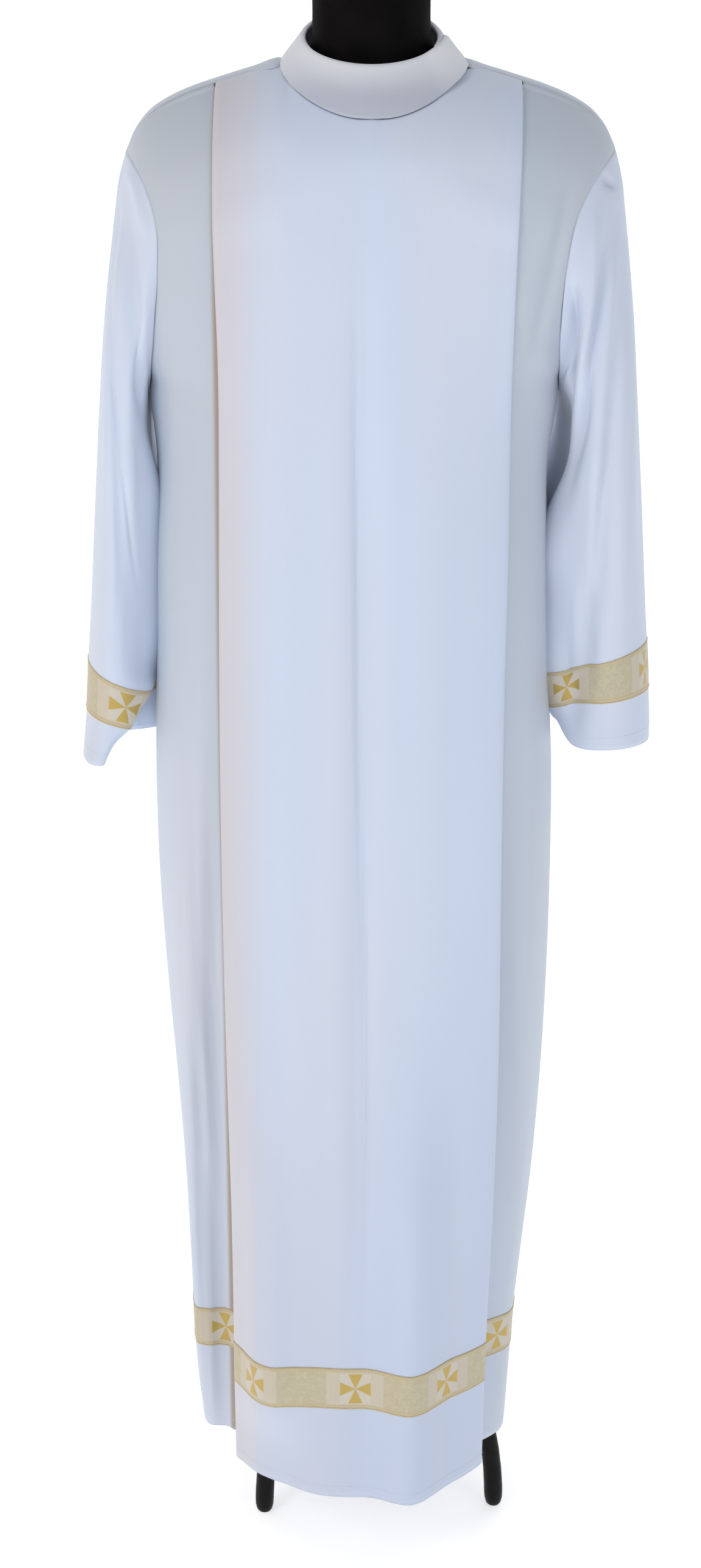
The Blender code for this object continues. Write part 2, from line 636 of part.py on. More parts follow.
def end_share(row, side, share, end, z):
    """x of a column that lies a share of the turn from the neck's side to the edge."""
    power = SECTION_POWER / 2.0
    middle, half = curve_through(BODY, 1, z), curve_through(BODY, 2, z)
    turn_end = math.asin(min(abs(end - middle) / half, 1.0) ** power)
    near = SHOULDER_X + side * NECK_HALF_WIDTH
    turn_near = math.asin(min(abs(near - middle) / half, 1.0) ** power)
    part = (share - 0.40) / 0.60
    turn = turn_near + (turn_end - turn_near) * part
    if share == 1.0:
        return end
    return middle + side * half * math.sin(turn) ** (1.0 / power)


def folded_back_point(x, row):
    point = back_point(x, row)
    z = point[2]
    edge = 1.0 - abs(x - curve_through(BODY, 1, z)) / curve_through(BODY, 2, z)
    if row[0] != "over":
        point[1] += fold_height(BACK_FOLDS, x, z) * ease(edge * 6.0)
    return point


# ---------------------------------------------------------------- sleeves
def sleeve_section(side, share):
    """Middle of one sleeve section, and its half axis towards the outer edge."""
    drop = curve_through(SLEEVE_DROP["left" if side < 0 else "right"], 1, share)
    outer_z = curve_through(SLEEVE, 1, share) - drop
    inner_z = curve_through(SLEEVE, 2, share) - drop
    inner_x = curve_through(SLEEVE, 3 if side < 0 else 4, share)
    outer_x_here = curve_through(SLEEVE_OUTER, 1, outer_z)
    outer = np.array([SLEEVE_X + side * outer_x_here, 0.0, outer_z])
    inner = np.array([SLEEVE_X + side * inner_x, 0.0, inner_z])
    return (outer + inner) / 2.0, (outer - inner) / 2.0


def drawn_cuff(side, share, angle, point):
    """A point of the plain sleeve, drawn over to the rings of its cuff."""
    shares, rings = CUFF_RINGS["left" if side < 0 else "right"]
    stops = [np.array([point[0], point[1], 0.0])]
    turn = np.array([360.0, 0.0, 0.0, 0.0])
    for ring in rings:
        around = np.vstack([ring[-2:] - turn, ring, ring[:2] + turn])
        stops.append(np.array([curve_through(around, column, angle) for column in (1, 2, 3)]))
    x, y, rise = [np.interp(share, shares, values) for values in np.array(stops).T]
    return np.array([x, y, point[2] + rise])


def sleeve_point(side, share, angle):
    middle, axis = sleeve_section(side, share)
    front = curve_through(SLEEVE, 5, share)
    back = curve_through(SLEEVE, 6, share)
    turn = math.radians(angle)
    depth = front if math.sin(turn) > 0.0 else back
    plain = middle + axis * math.cos(turn) - np.array([0.0, depth * math.sin(turn), 0.0])
    return drawn_cuff(side, share, angle % 360.0, plain)


def sleeve_fold(side, share, angle):
    total = 0.0
    folds = SLEEVE_FOLDS["left" if side < 0 else "right"]
    for start_angle, end_angle, start, end, half_width, height in folds:
        part = (share - start) / (end - start)
        if not 0.0 < part < 1.0:
            continue
        centre = start_angle + (end_angle - start_angle) * part
        strength = ease(part * 3.0) * ease((1.0 - part) * 3.0)
        off = (angle - centre + 180.0) % 360.0 - 180.0
        total += height * strength * math.exp(-(off / half_width) ** 2)
    return total


CUFF_SHARES = (0.793, 0.842, 0.890)
SLEEVE_SHARES = (0.0, 0.022, 0.05, 0.09, 0.14, 0.20, 0.28, 0.37, 0.47, 0.57, 0.68, 0.745,
                 *CUFF_SHARES, 0.930, 0.968, 1.0)


def make_sleeve(side, front_edge, back_edge):
    """A tube from the armhole seam, whose own points are its first ring, to the cuff."""
    name = "left" if side < 0 else "right"
    top = (front_edge[0] + back_edge[0]) / 2.0
    loop = np.array([top] + list(front_edge[1:]) + list(back_edge[1:-1][::-1]))
    middle_z = (ARM_TOP_Z + UNDERARM_Z) / 2.0
    angles = np.degrees(np.arctan2(-loop[:, 1] * ARMHOLE_SLIMNESS, loop[:, 2] - middle_z))
    angles = np.mod(angles, 360.0)
    behind = len(front_edge)
    angles[behind:] = np.mod(angles[behind:] - 180.0, 360.0) + 180.0
    even = np.arange(len(loop)) * 360.0 / len(loop)
    loop[:, 0] += side * 3.0 * SEAM_GAP
    base = np.array([sleeve_point(side, 0.0, angle) for angle in angles])
    rest = loop - base
    grid = [loop]
    for share in SLEEVE_SHARES[1:]:
        hold = 1.0 - ease(share / 0.30)
        blend = ease(share / 0.60)
        centre, _axis = sleeve_section(side, share)
        ring = []
        for index in range(len(loop)):
            angle = angles[index] * (1.0 - blend) + even[index] * blend
            point = sleeve_point(side, share, angle) + rest[index] * hold
            away = point - centre
            away /= np.linalg.norm(away)
            ring.append(point + away * sleeve_fold(side, share, angle))
        grid.append(ring)
    tube = np.array(grid)[:, ::-side]
    normals = grid_normals(tube, True)
    normals[0, :, 0] = 0.0
    normals[0] /= np.linalg.norm(normals[0], axis=1, keepdims=True)
    cloth_wall("sleeve_" + name, tube, normals, around=True)
    first = SLEEVE_SHARES.index(CUFF_SHARES[0])
    rows = slice(first, first + len(CUFF_SHARES))
    ribbon_wall("galloon_cuff_" + name, tube[rows], normals[rows], around=True)


# ---------------------------------------------------------------- collar
def neck_point(angle):
    """The neck seam at an angle from the front, round to the right."""
    turn = math.radians(angle)
    x = SHOULDER_X + NECK_HALF_WIDTH * math.sin(turn)
    y = NECK_Y - (NECK_FRONT if math.cos(turn) > 0 else NECK_BACK) * math.cos(turn)
    roll = roll_at(x, y)
    return np.array([x, y, ridge_z(x) - ROLL_HEIGHT * (1.0 - math.cos(math.radians(roll)))])


def rim_point(angle):
    turn = math.radians(angle)
    middle_y = (RIM_FRONT_Y + RIM_BACK_Y) / 2.0
    reach = (RIM_BACK_Y - RIM_FRONT_Y) / 2.0
    return np.array([NECK_X + RIM_HALF_WIDTH * math.sin(turn), middle_y - reach * math.cos(turn),
                     RIM_MID_Z - RIM_TILT * math.cos(turn)])


# Collar section: share of the height, distance out from the middle of the fold.
COLLAR_SECTION = (
    (0.015, 0.0062), (0.25, 0.0044), (0.55, 0.0030), (0.85, 0.0030), (0.985, 0.0026),
    (1.03, 0.0012), (1.03, -0.0012), (0.985, -0.0026), (0.62, -0.0022), (0.22, -0.0006),
    (0.012, 0.0004),
)


def make_collar():
    steps = 42
    end = COLLAR_START + 360.0 + COLLAR_LAP
    grid = []
    for step in range(steps + 1):
        angle = COLLAR_START + (end - COLLAR_START) * step / steps
        low, high = neck_point(angle), rim_point(angle)
        up = high - low
        turn = math.radians(angle)
        away = np.array([math.sin(turn), -math.cos(turn), 0.0])
        away -= up * np.dot(away, up) / np.dot(up, up)
        away /= np.linalg.norm(away)
        lift = COLLAR_LAP_LIFT * ease((angle - (end - 2.6 * COLLAR_LAP)) / (1.4 * COLLAR_LAP))
        line = [low + up * share + away * (out + lift) for share, out in COLLAR_SECTION]
        grid.append(line)
    grid = np.array(grid).transpose(1, 0, 2)[::-1]
    normals = grid_normals(grid, False)
    middle = grid.mean(axis=(0, 1))
    if ((grid[-3:] - middle) * normals[-3:]).sum() < 0:
        normals = -normals
    cloth_wall("collar", grid, normals)


# ---------------------------------------------------------------- dress form and stand
def form_ring(z, half, front, back, middle, count=32):
    ring = []
    for step in range(count):
        turn = 2.0 * math.pi * step / count
        reach = front if math.cos(turn) > 0 else back
        power = 2.0 / 2.3
        across = math.copysign(abs(math.sin(turn)) ** power, math.sin(turn))
        along = math.copysign(abs(math.cos(turn)) ** power, math.cos(turn))
        ring.append((middle + half * across, -reach * along, z))
    return ring


def lofted(name, rings, spec):
    points = [point for ring in rings for point in ring]
    count = len(rings[0])
    faces = [list(range(count)), list(range(len(points) - count, len(points)))]
    for row in range(len(rings) - 1):
        for column in range(count):
            after = (column + 1) % count
            faces.append([row * count + column, row * count + after,
                          (row + 1) * count + after, (row + 1) * count + column])
    return add_mesh(name, points, faces, spec)


def form_ridge(across):
    """Height of the form's shoulder: close under the cloth, lower where it has pleats."""
    layers = PLEATS[0, 3] * ease((across - FORM_PLEAT_X) / FORM_PLEAT_RUN)
    return curve_through(SHOULDER, 1, across) - CLOTH - 1.5 * LAYER_GAP - layers


def form_shoulder_ring(z, count=32):
    """Section through the form's shoulders: inside the cloth, and round the neck."""
    half = FORM_SHOULDER
    while form_ridge(half) < z:
        half -= 0.0005
    ring = []
    for step in range(count):
        turn = 2.0 * math.pi * step / count
        across = half * math.sin(turn)
        drop = (form_ridge(abs(across)) - z) / ROLL_HEIGHT
        roll = math.sqrt(1.0 - (1.0 - min(max(drop, 0.0), 1.0)) ** 2)
        share = (1.0 - (abs(across) / (FORM_SHOULDER + 0.006)) ** 2.6) ** (1.0 / 2.6)
        depth = curve_through(BODY, 3 if math.cos(turn) > 0 else 4, z) - FORM_INSET
        neck = math.sqrt(max(NECK_RADIUS**2 - across**2, 0.0))
        reach = max(depth * share * roll, neck if z > 1.56 else 0.0)
        ring.append((NECK_X + across, -math.copysign(reach, math.cos(turn)), z))
    return ring


def make_form():
    """Torso and neck in one jersey-covered body, with flat ends."""
    rings = [form_ring(z, half, front, back, NECK_X) for z, half, front, back in FORM]
    rings += [form_shoulder_ring(z) for z in (1.480, 1.520, 1.550, 1.566, 1.580, 1.591, 1.5985)]
    for z, radius in ((1.612, 0.0605), (1.630, NECK_RADIUS), (FORM_TOP_Z, NECK_RADIUS)):
        rings.append(form_ring(z, radius, radius, radius, NECK_X))
    lofted("form_torso", rings, BLACK_COVER)


def turned(name, profile, x, y, spec, count=20):
    """A turned body: radius and height pairs from bottom to top."""
    rings = []
    for radius, z in profile:
        rings.append([(x + radius * math.cos(2 * math.pi * step / count),
                       y + radius * math.sin(2 * math.pi * step / count), z)
                      for step in range(count)])
    return lofted(name, rings, spec)


def make_stand():
    turned("neck_cap", ((0.056, FORM_TOP_Z + SEAM_GAP), (0.0585, FORM_TOP_Z + 0.004),
                        (0.0585, FORM_TOP_Z + 0.009), (0.052, FORM_TOP_Z + 0.014)),
           NECK_X, 0.0, BLACK_PAINT, 28)
    turned("form_base", ((0.060, FORM_BOTTOM_Z - 0.0123), (0.064, FORM_BOTTOM_Z - 0.009),
                         (0.064, FORM_BOTTOM_Z - SEAM_GAP)), NECK_X, 0.0, BLACK_PAINT, 28)
    pole_top = FORM_BOTTOM_Z - 0.0123 - SEAM_GAP
    turned("stand_pole", ((POLE_RADIUS, HUB_Z + 0.0303), (POLE_RADIUS, pole_top)),
           STAND_X, 0.0, BLACK_PAINT)
    turned("stand_hub", ((0.036, HUB_Z - 0.030), (0.038, HUB_Z - 0.024), (0.034, HUB_Z + 0.012),
                         (0.022, HUB_Z + 0.030)), STAND_X, 0.0, BLACK_PAINT)
    for number, heading in enumerate(LEG_HEADINGS, start=1):
        make_leg(number, heading)


# Leg path: distance from the pole's axis and height of the four points of its curve. It
# leaves the hub straight down, bows outwards and comes down straight on the floor.
LEG_START = 0.024
LEG_PATH = np.array([
    (LEG_START, HUB_Z - 0.030 - SEAM_GAP), (LEG_START, 0.200), (LEG_SPREAD, 0.220),
    (LEG_SPREAD, 0.0),
])
# Leg sections: share of the way along the curve, radius. The foot ends in a small flat.
LEG = ((0.0, 0.0095), (0.12, 0.0105), (0.24, 0.0105), (0.36, 0.0102), (0.48, 0.0098),
       (0.60, 0.0095), (0.72, 0.0097), (0.84, 0.0100), (0.93, 0.0104), (0.972, 0.0106),
       (0.986, 0.0102), (0.995, 0.0088), (1.0, 0.0060))


def make_leg(number, heading):
    """A curved round leg from under the hub down to a rounded foot."""
    turn = math.radians(heading)
    away = np.array([math.cos(turn), math.sin(turn), 0.0])
    across = np.array([-math.sin(turn), math.cos(turn), 0.0])
    up = np.array([0.0, 0.0, 1.0])
    rings = []
    for share, radius in LEG:
        rest = 1.0 - share
        weights = np.array([rest**3, 3.0 * rest**2 * share, 3.0 * rest * share**2, share**3])
        slopes = np.array([-rest**2, rest**2 - 2.0 * rest * share,
                           2.0 * rest * share - share**2, share**2])
        reach, height = weights @ LEG_PATH
        run = slopes @ LEG_PATH
        run /= np.linalg.norm(run)
        centre = np.array([STAND_X, 0.0, 0.0]) + away * reach + up * height
        outward = up * run[0] - away * run[1]
        rings.append([centre + radius * (outward * math.cos(2 * math.pi * step / 14)
                                         + across * math.sin(2 * math.pi * step / 14))
                      for step in range(14)])
    lofted("stand_leg_%d" % number, rings, BLACK_PAINT)


# ---------------------------------------------------------------- build
def stand_on_origin():
    """Move the whole robe so that the origin is under the middle of its box."""
    corners = []
    for thing in collection("alb_robe").objects:
        corners += [vertex.co.copy() for vertex in thing.data.vertices]
    spread = np.array(corners)
    low, high = spread.min(axis=0), spread.max(axis=0)
    shift = np.array([(low[0] + high[0]) / 2.0, (low[1] + high[1]) / 2.0, low[2]])
    for thing in collection("alb_robe").objects:
        for vertex in thing.data.vertices:
            vertex.co.x -= shift[0]
            vertex.co.y -= shift[1]
            vertex.co.z -= shift[2]


clear_scene()
make_front()
front_edges = {side: make_side_front(side) for side in (-1, 1)}
back_edges = make_back()
for side in (-1, 1):
    make_sleeve(side, front_edges[side], back_edges[side])
make_collar()
make_form()
make_stand()
stand_on_origin()
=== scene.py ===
"""White clergy alb hung on a limbless dress form: stand, form, cloth, galloon and sewing."""
from math import asin, ceil, copysign, cos, pi, radians, sin, sqrt

import bpy
import numpy as np
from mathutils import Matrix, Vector
from numpy.linalg import norm


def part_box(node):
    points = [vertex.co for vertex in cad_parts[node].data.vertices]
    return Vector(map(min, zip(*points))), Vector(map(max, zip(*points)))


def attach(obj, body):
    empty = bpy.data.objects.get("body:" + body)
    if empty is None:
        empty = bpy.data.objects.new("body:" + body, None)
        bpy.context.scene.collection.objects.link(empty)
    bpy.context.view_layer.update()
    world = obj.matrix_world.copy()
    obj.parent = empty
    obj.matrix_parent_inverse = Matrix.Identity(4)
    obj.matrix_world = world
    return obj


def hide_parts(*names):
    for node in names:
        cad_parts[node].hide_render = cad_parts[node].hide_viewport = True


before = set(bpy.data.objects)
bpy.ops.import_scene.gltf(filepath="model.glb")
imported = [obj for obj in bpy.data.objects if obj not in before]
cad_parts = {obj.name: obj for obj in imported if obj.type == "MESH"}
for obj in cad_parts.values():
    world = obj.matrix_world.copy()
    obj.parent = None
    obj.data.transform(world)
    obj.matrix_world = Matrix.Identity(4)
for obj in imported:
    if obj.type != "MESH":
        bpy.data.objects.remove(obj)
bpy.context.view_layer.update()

# ---- Tripod stand
# A turned pole of black painted wood in a turned hub, on three bowed round legs that come
# down straight on rounded feet. The legs are dowelled into the underside of the hub.
cap_low, cap_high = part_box("neck_cap")
AXIS_X = 0.012            # the form's axis, measured from the middle of the skirt
PLACE = np.array([(cap_low[0] + cap_high[0]) / 2.0 - AXIS_X,
                  (cap_low[1] + cap_high[1]) / 2.0, 0.0])
POLE_X, POLE_RADIUS = 0.020, 0.016
HUB_Z = 0.300
LEG_HEADINGS = (-147.0, -27.0, 93.0)
RING_POINTS = 48          # round a turned part or the form


def millimetres(rows, first=0):
    """A table in metres from rows in millimetres, whose lengths start at one column."""
    table = np.array(rows, float)
    table[:, first:] /= 1000.0
    return table


# Leg path: distance from the pole's axis and height of the four points of its curve.
LEG_PATH = np.array([(0.024, HUB_Z - 0.0303), (0.024, 0.200), (0.152, 0.220), (0.152, 0.0)])
# Leg sections: share of the way along the curve, radius.
LEG = millimetres([
    (0, 9.5), (0.12, 10.5), (0.24, 10.5), (0.36, 10.2), (0.48, 9.8), (0.6, 9.5), (0.72, 9.7),
    (0.84, 10), (0.93, 10.4), (0.96, 10.6), (0.972, 10.6), (0.986, 10.2), (0.995, 8.8),
    (0.999, 6.8), (1, 5.6),
], 1)


def running(steps):
    """Distances from the start, from the steps between."""
    return np.concatenate([[0.0], np.cumsum(steps)])


def cubic(t, width, ends, slopes):
    """A smooth curve from one value to the next, with a slope given at each."""
    return ((2 * t**3 - 3 * t**2 + 1) * ends[0] + (t**3 - 2 * t**2 + t) * width * slopes[0]
            + (3 * t**2 - 2 * t**3) * ends[1] + (t**3 - t**2) * width * slopes[1])


def finer(grid, cell, axis, around=False):
    """More points along one direction of a grid, on smooth curves through its own points,
    and where its own rows are among them."""
    grid = np.moveaxis(np.asarray(grid, float), axis, 0)
    if around:
        grid = np.concatenate([grid[-3:], grid, grid[:4]])
    steps = norm(np.diff(grid, axis=0), axis=2).mean(axis=1)
    knots = running(steps)
    slopes = np.gradient(grid, knots, axis=0)
    first, last = (3, len(knots) - 4) if around else (0, len(knots) - 1)
    places, own = [], []
    for span in range(first, last):
        count = max(1, ceil(steps[span] / cell))
        own.append(len(places))
        places += [knots[span] + steps[span] * part / count for part in range(count)]
    own.append(len(places))
    if not around:
        places.append(knots[last])
    places = np.array(places)
    span = np.clip(np.searchsorted(knots, places, side="right") - 1, 0, len(steps) - 1)
    t = ((places - knots[span]) / steps[span])[:, None, None]
    made = cubic(t, steps[span][:, None, None], (grid[span], grid[span + 1]),
                 (slopes[span], slopes[span + 1]))
    return np.moveaxis(made, 0, axis), own


def put_in_scene(name, data):
    made = bpy.data.objects.new(name, data)
    bpy.context.scene.collection.objects.link(made)
    return made


def mesh_piece(name, points, faces, finish, uv=None, girth=0.0):
    """An object at the origin from points in the robe's own measures."""
    data = bpy.data.meshes.new(name)
    data.from_pydata((np.asarray(points) + PLACE).tolist(), [], faces)
    if uv is not None:
        layer = data.uv_layers.new(name="cloth")
        corners = np.asarray(uv, float)[np.array(faces)]
        if girth:             # a tube's last face runs on instead of turning back to 0
            wide = np.ptp(corners[:, :, 0], axis=1) > girth / 2.0
            corners[:, :, 0] += girth * (wide[:, None] & (corners[:, :, 0] < girth / 2.0))
        layer.data.foreach_set("uv", corners.ravel())
    data.materials.append(finish)
    data.shade_smooth()
    return put_in_scene(name, data)


def ring_faces(rows, columns, around):
    """Faces between the rows of a grid, which are closed rings on a tube."""
    faces = []
    for row in range(rows - 1):
        for column in range(columns if around else columns - 1):
            here, after = row * columns + column, row * columns + (column + 1) % columns
            faces.append((here, here + columns, after + columns, after))
    return faces


def solid_of_rings(name, rings, finish, bevel=0.0):
    """A closed turned or carved body from rings that run from the top down."""
    rings = np.asarray(rings, float)
    rows, columns = rings.shape[:2]
    points = rows * columns
    faces = ring_faces(rows, columns, True)
    faces += [tuple(range(columns)), tuple(range(points - 1, points - columns - 1, -1))]
    made = mesh_piece(name, rings.reshape(-1, 3), faces, finish)
    if bevel:
        edge = made.modifiers.new("edge", "BEVEL")
        edge.width, edge.segments, edge.limit_method, edge.angle_limit = bevel, 3, "ANGLE", 0.7
    made.data.set_sharp_from_angle(angle=radians(50.0))
    return made


def circle(x, y, z, radius, count=RING_POINTS):
    turns = np.arange(count) * 2.0 * pi / count
    return np.stack([x + radius * np.cos(turns), y + radius * np.sin(turns),
                     np.full(count, z)], axis=1)


def fit(piece, cad_node):
    """The piece stands for one solid and stays with the stand."""
    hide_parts(cad_node)
    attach(piece, "root")


def wire(tree, made, inputs):
    """Give a node's sockets their values, or link them to other nodes' outputs."""
    for socket, value in inputs.items():
        if isinstance(value, bpy.types.NodeSocket):
            tree.links.new(value, made.inputs[socket])
        else:
            made.inputs[socket].default_value = value


def node(tree, kind, inputs=None, **settings):
    """A new node with its settings and inputs, and its outputs."""
    made = tree.nodes.new(kind)
    for name, value in settings.items():
        setattr(made, name, value)
    wire(tree, made, inputs or {})
    return made.outputs


def new_finish(name):
    made = bpy.data.materials.new(name)
    made.use_nodes = True
    return made, made.node_tree, made.node_tree.nodes["Principled BSDF"]


def ranged(tree, value, low, high, start=0.0, end=1.0, **settings):
    """A value from low to high turned to one from start to end."""
    return node(tree, "ShaderNodeMapRange", {
        "Value": value, "From Min": low, "From Max": high, "To Min": start, "To Max": end},
        **settings)["Result"]


def mottled(tree, scale, detail, low=0.0, high=1.0, coordinates="Object"):
    """A soft noise turned to a value between low and high."""
    noise = node(tree, "ShaderNodeTexNoise", {
        "Vector": node(tree, "ShaderNodeTexCoord")[coordinates], "Scale": scale,
        "Detail": detail})
    return ranged(tree, noise["Fac"], 0.3, 0.7, low, high)


def ribbed(tree, vector, direction, scale, distortion=0.0, detail_scale=1.0):
    """Fine even waves, as of threads or ribs side by side."""
    return node(tree, "ShaderNodeTexWave", {
        "Vector": vector, "Scale": scale, "Distortion": distortion,
        "Detail Scale": detail_scale}, bands_direction=direction)["Fac"]


def raised(tree, height, strength, distance):
    return node(tree, "ShaderNodeBump", {
        "Height": height, "Strength": strength, "Distance": distance})["Normal"]


def mixed(tree, share, first, second, **settings):
    """A colour between two by a share, each a plain colour or a node's output."""
    first, second = [(*tone, 1.0) if isinstance(tone, tuple) else tone
                     for tone in (first, second)]
    return node(tree, "ShaderNodeMix", {0: share, 6: first, 7: second}, data_type="RGBA",
                **settings)[2]


black_paint, tree, surface = new_finish("black_paint")
wire(tree, surface, {
    "Coat Weight": 0.03, "Coat Roughness": 0.35, "Specular IOR Level": 0.12,
    "Base Color": mixed(tree, mottled(tree, 60.0, 3.0), (0.0034, 0.0030, 0.0030),
                        (0.0070, 0.0062, 0.0062)),
    "Roughness": mottled(tree, 90.0, 4.0, 0.34, 0.52),
    "Normal": raised(tree, mottled(tree, 420.0, 3.0), 0.25, 0.0004)})

up = np.array([0.0, 0.0, 1.0])
for number, heading in enumerate(LEG_HEADINGS, start=1):
    turn = radians(heading)
    away = np.array([cos(turn), sin(turn), 0.0])
    across = np.array([-sin(turn), cos(turn), 0.0])
    shares, radii = LEG.T
    steps = np.unique(np.concatenate([shares, np.linspace(0.0, 0.96, 25)]))
    rings = []
    for share, radius in zip(steps, np.interp(steps, shares, radii)):
        rest = 1.0 - share
        reach, height = np.array([rest**3, 3.0 * rest**2 * share, 3.0 * rest * share**2,
                                  share**3]) @ LEG_PATH
        run = np.array([-rest**2, rest**2 - 2.0 * rest * share, 2.0 * rest * share - share**2,
                        share**2]) @ LEG_PATH
        run /= norm(run)
        section = circle(0.0, 0.0, 0.0, radius, 28)
        rings.append(np.array([POLE_X, 0.0, 0.0]) + away * reach + up * height
                     + section[:, :1] * (up * run[0] - away * run[1])
                     + section[:, 1:2] * across)
    fit(solid_of_rings("leg_%d" % number, rings, black_paint), "stand_leg_%d" % number)

FORM_FLOOR = 0.790        # lower edge of the torso
# Turned parts: name, solid, axis, and a profile of radius and height above a level.
for name, cad_node, middle, level, profile in (
        ("pole", "stand_pole", POLE_X, HUB_Z,
         ((POLE_RADIUS, FORM_FLOOR - 0.0126 - HUB_Z), (POLE_RADIUS, 0.0303))),
        ("hub", "stand_hub", POLE_X, HUB_Z,
         ((0.0220, 0.030), (0.0285, 0.022), (0.0345, 0.010), (0.0372, -0.006),
          (0.0380, -0.022), (0.0360, -0.030))),
        ("base_ring", "form_base", AXIS_X, FORM_FLOOR,
         ((0.0640, -0.0003), (0.0640, -0.009), (0.0600, -0.0123)))):
    rings = [circle(middle, 0.0, level + z, radius) for radius, z in profile]
    fit(solid_of_rings(name, rings, black_paint, 0.0012), cad_node)

# ---- Dress form
# A limbless torso of moulded shell in a tight black jersey cover, gathered under a turned
# wooden cap on the neck. Its shoulders fill the robe's, and the cloth rests on them.
CLOTH = 0.0015            # one layer of the robe, which lies just above the form
LAYER = 0.0008
ROLL = 0.120              # height over which cloth rolls off the ridge of the shoulders
SQUARENESS = 2.4          # of the body's plan
FORM_INSET = 0.014
FORM_HALF = 0.190         # half width of the form's shoulders
FORM_MARGIN = 0.006       # beyond it, where the plan of the shoulders would close
SHOULDER_SQUARENESS, WAIST_SQUARENESS = 2.6, 2.3   # of the form's plan
FORM_PLEAT_X, FORM_PLEAT_RUN, FORM_PLEAT_DROP = 0.095, 0.030, 0.006
NECK_FOOT_Z = 1.56
NECK_RADIUS = 0.0595
FORM_TOP = 1.705
# Body sections: height, middle, half width, depth to the front, depth to the back.
BODY = millimetres([
    (1620, 12, 268, 80, 78), (1540, 12, 264, 112, 102), (1480, 9, 258, 127, 114),
    (1400, 3, 247, 137, 121), (1320, -3, 226, 142, 123), (1270, -5, 211.5, 145, 124),
    (1100, -8, 207, 151, 129), (970, -7, 209.5, 156, 136), (870, -5.5, 213.5, 161, 143),
    (700, -3.5, 212, 170, 155), (550, 0, 204.5, 180, 165), (400, 0, 194.5, 191, 176),
    (240, -5.5, 183.5, 203, 186), (165, -6.5, 180, 209.5, 191), (92, -5, 173.5, 216, 196),
])
# Ridge of the shoulders: distance from their middle, height.
SHOULDER = millimetres([
    (0, 1613), (95, 1596.5), (152, 1580.5), (193, 1566), (215, 1554.5), (231, 1541), (241, 1526),
    (250, 1505), (262, 1470),
])
# Dress form sections: height, half width, depth to the front, depth to the back.
FORM = millimetres([
    (1420, 188, 112, 102), (1350, 176, 122, 104), (1270, 160, 118, 98), (1180, 146, 104, 90),
    (1110, 150, 102, 92), (1010, 172, 108, 108), (930, 178, 110, 116), (850, 172, 104, 112),
    (790, 158, 94, 100),
])


def through(table, column, at):
    """Smooth value of a table's column at a height or width: a cubic through its rows."""
    order = np.argsort(table[:, 0])
    keys, values = table[order, 0], table[order, column]
    at = min(max(at, keys[0]), keys[-1])
    place = min(max(int(np.searchsorted(keys, at)) - 1, 0), len(keys) - 2)
    span = keys[place + 1] - keys[place]
    return float(cubic((at - keys[place]) / span, span, values[place:place + 2],
                       np.gradient(values, keys)[place:place + 2]))


def ease(value):
    value = np.clip(value, 0.0, 1.0)
    return value * value * (3.0 - 2.0 * value)


def form_ridge(across):
    """Height of the form's shoulders, lower where the pleats' layers lie on them."""
    return (through(SHOULDER, 1, across) - CLOTH - 1.5 * LAYER
            - FORM_PLEAT_DROP * ease((across - FORM_PLEAT_X) / FORM_PLEAT_RUN))


def form_shoulder_ring(z):
    """A ring of the form under the robe's shoulders, with the foot of the neck in it."""
    half = FORM_HALF
    while form_ridge(half) < z:
        half -= 0.0005
    ring = []
    for step in range(RING_POINTS):
        turn = 2.0 * pi * step / RING_POINTS
        across = half * sin(turn)
        drop = (form_ridge(abs(across)) - z) / ROLL
        roll = sqrt(1.0 - (1.0 - min(max(drop, 0.0), 1.0)) ** 2)
        out = abs(across) / (FORM_HALF + FORM_MARGIN)
        share = (1.0 - out**SHOULDER_SQUARENESS) ** (1.0 / SHOULDER_SQUARENESS)
        depth = through(BODY, 3 if cos(turn) > 0 else 4, z) - FORM_INSET
        neck = sqrt(max(NECK_RADIUS**2 - across**2, 0.0))
        reach = max(depth * share * roll, neck if z > NECK_FOOT_Z else 0.0)
        ring.append((AXIS_X + across, -copysign(reach, cos(turn)), z))
    return ring


def form_waist_ring(z, half, front, back):
    ring = []
    for step in range(RING_POINTS):
        turn = 2.0 * pi * step / RING_POINTS
        reach = front if cos(turn) > 0 else back
        across, along = [copysign(abs(part) ** (2.0 / WAIST_SQUARENESS), part)
                         for part in (sin(turn), cos(turn))]
        ring.append((AXIS_X + half * across, -reach * along, z))
    return ring


black_jersey, tree, surface = new_finish("black_jersey")
ribs = ribbed(tree, node(tree, "ShaderNodeTexCoord")["Object"], "DIAGONAL", 320.0, 0.6)
wire(tree, surface, {
    "Sheen Weight": 0.02, "Sheen Roughness": 0.5, "Specular IOR Level": 0.06,
    "Base Color": mixed(tree, mottled(tree, 25.0, 2.0), (0.0028, 0.0023, 0.0024),
                        (0.0052, 0.0043, 0.0045)),
    "Roughness": mottled(tree, 40.0, 2.0, 0.78, 0.92),
    "Normal": raised(tree, ribs, 0.35, 0.0003)})

rings = [form_waist_ring(z, radius, radius, radius)
         for z, radius in ((FORM_TOP, NECK_RADIUS), (1.664, NECK_RADIUS), (1.630, NECK_RADIUS),
                           (1.612, 0.0605))]
rings += [form_shoulder_ring(z) for z in (1.5985, 1.591, 1.580, 1.566, 1.550, 1.520, 1.480)]
rings += [form_waist_ring(*section) for section in FORM]
fit(solid_of_rings("torso", finer(rings, 0.012, 0)[0], black_jersey), "form_torso")

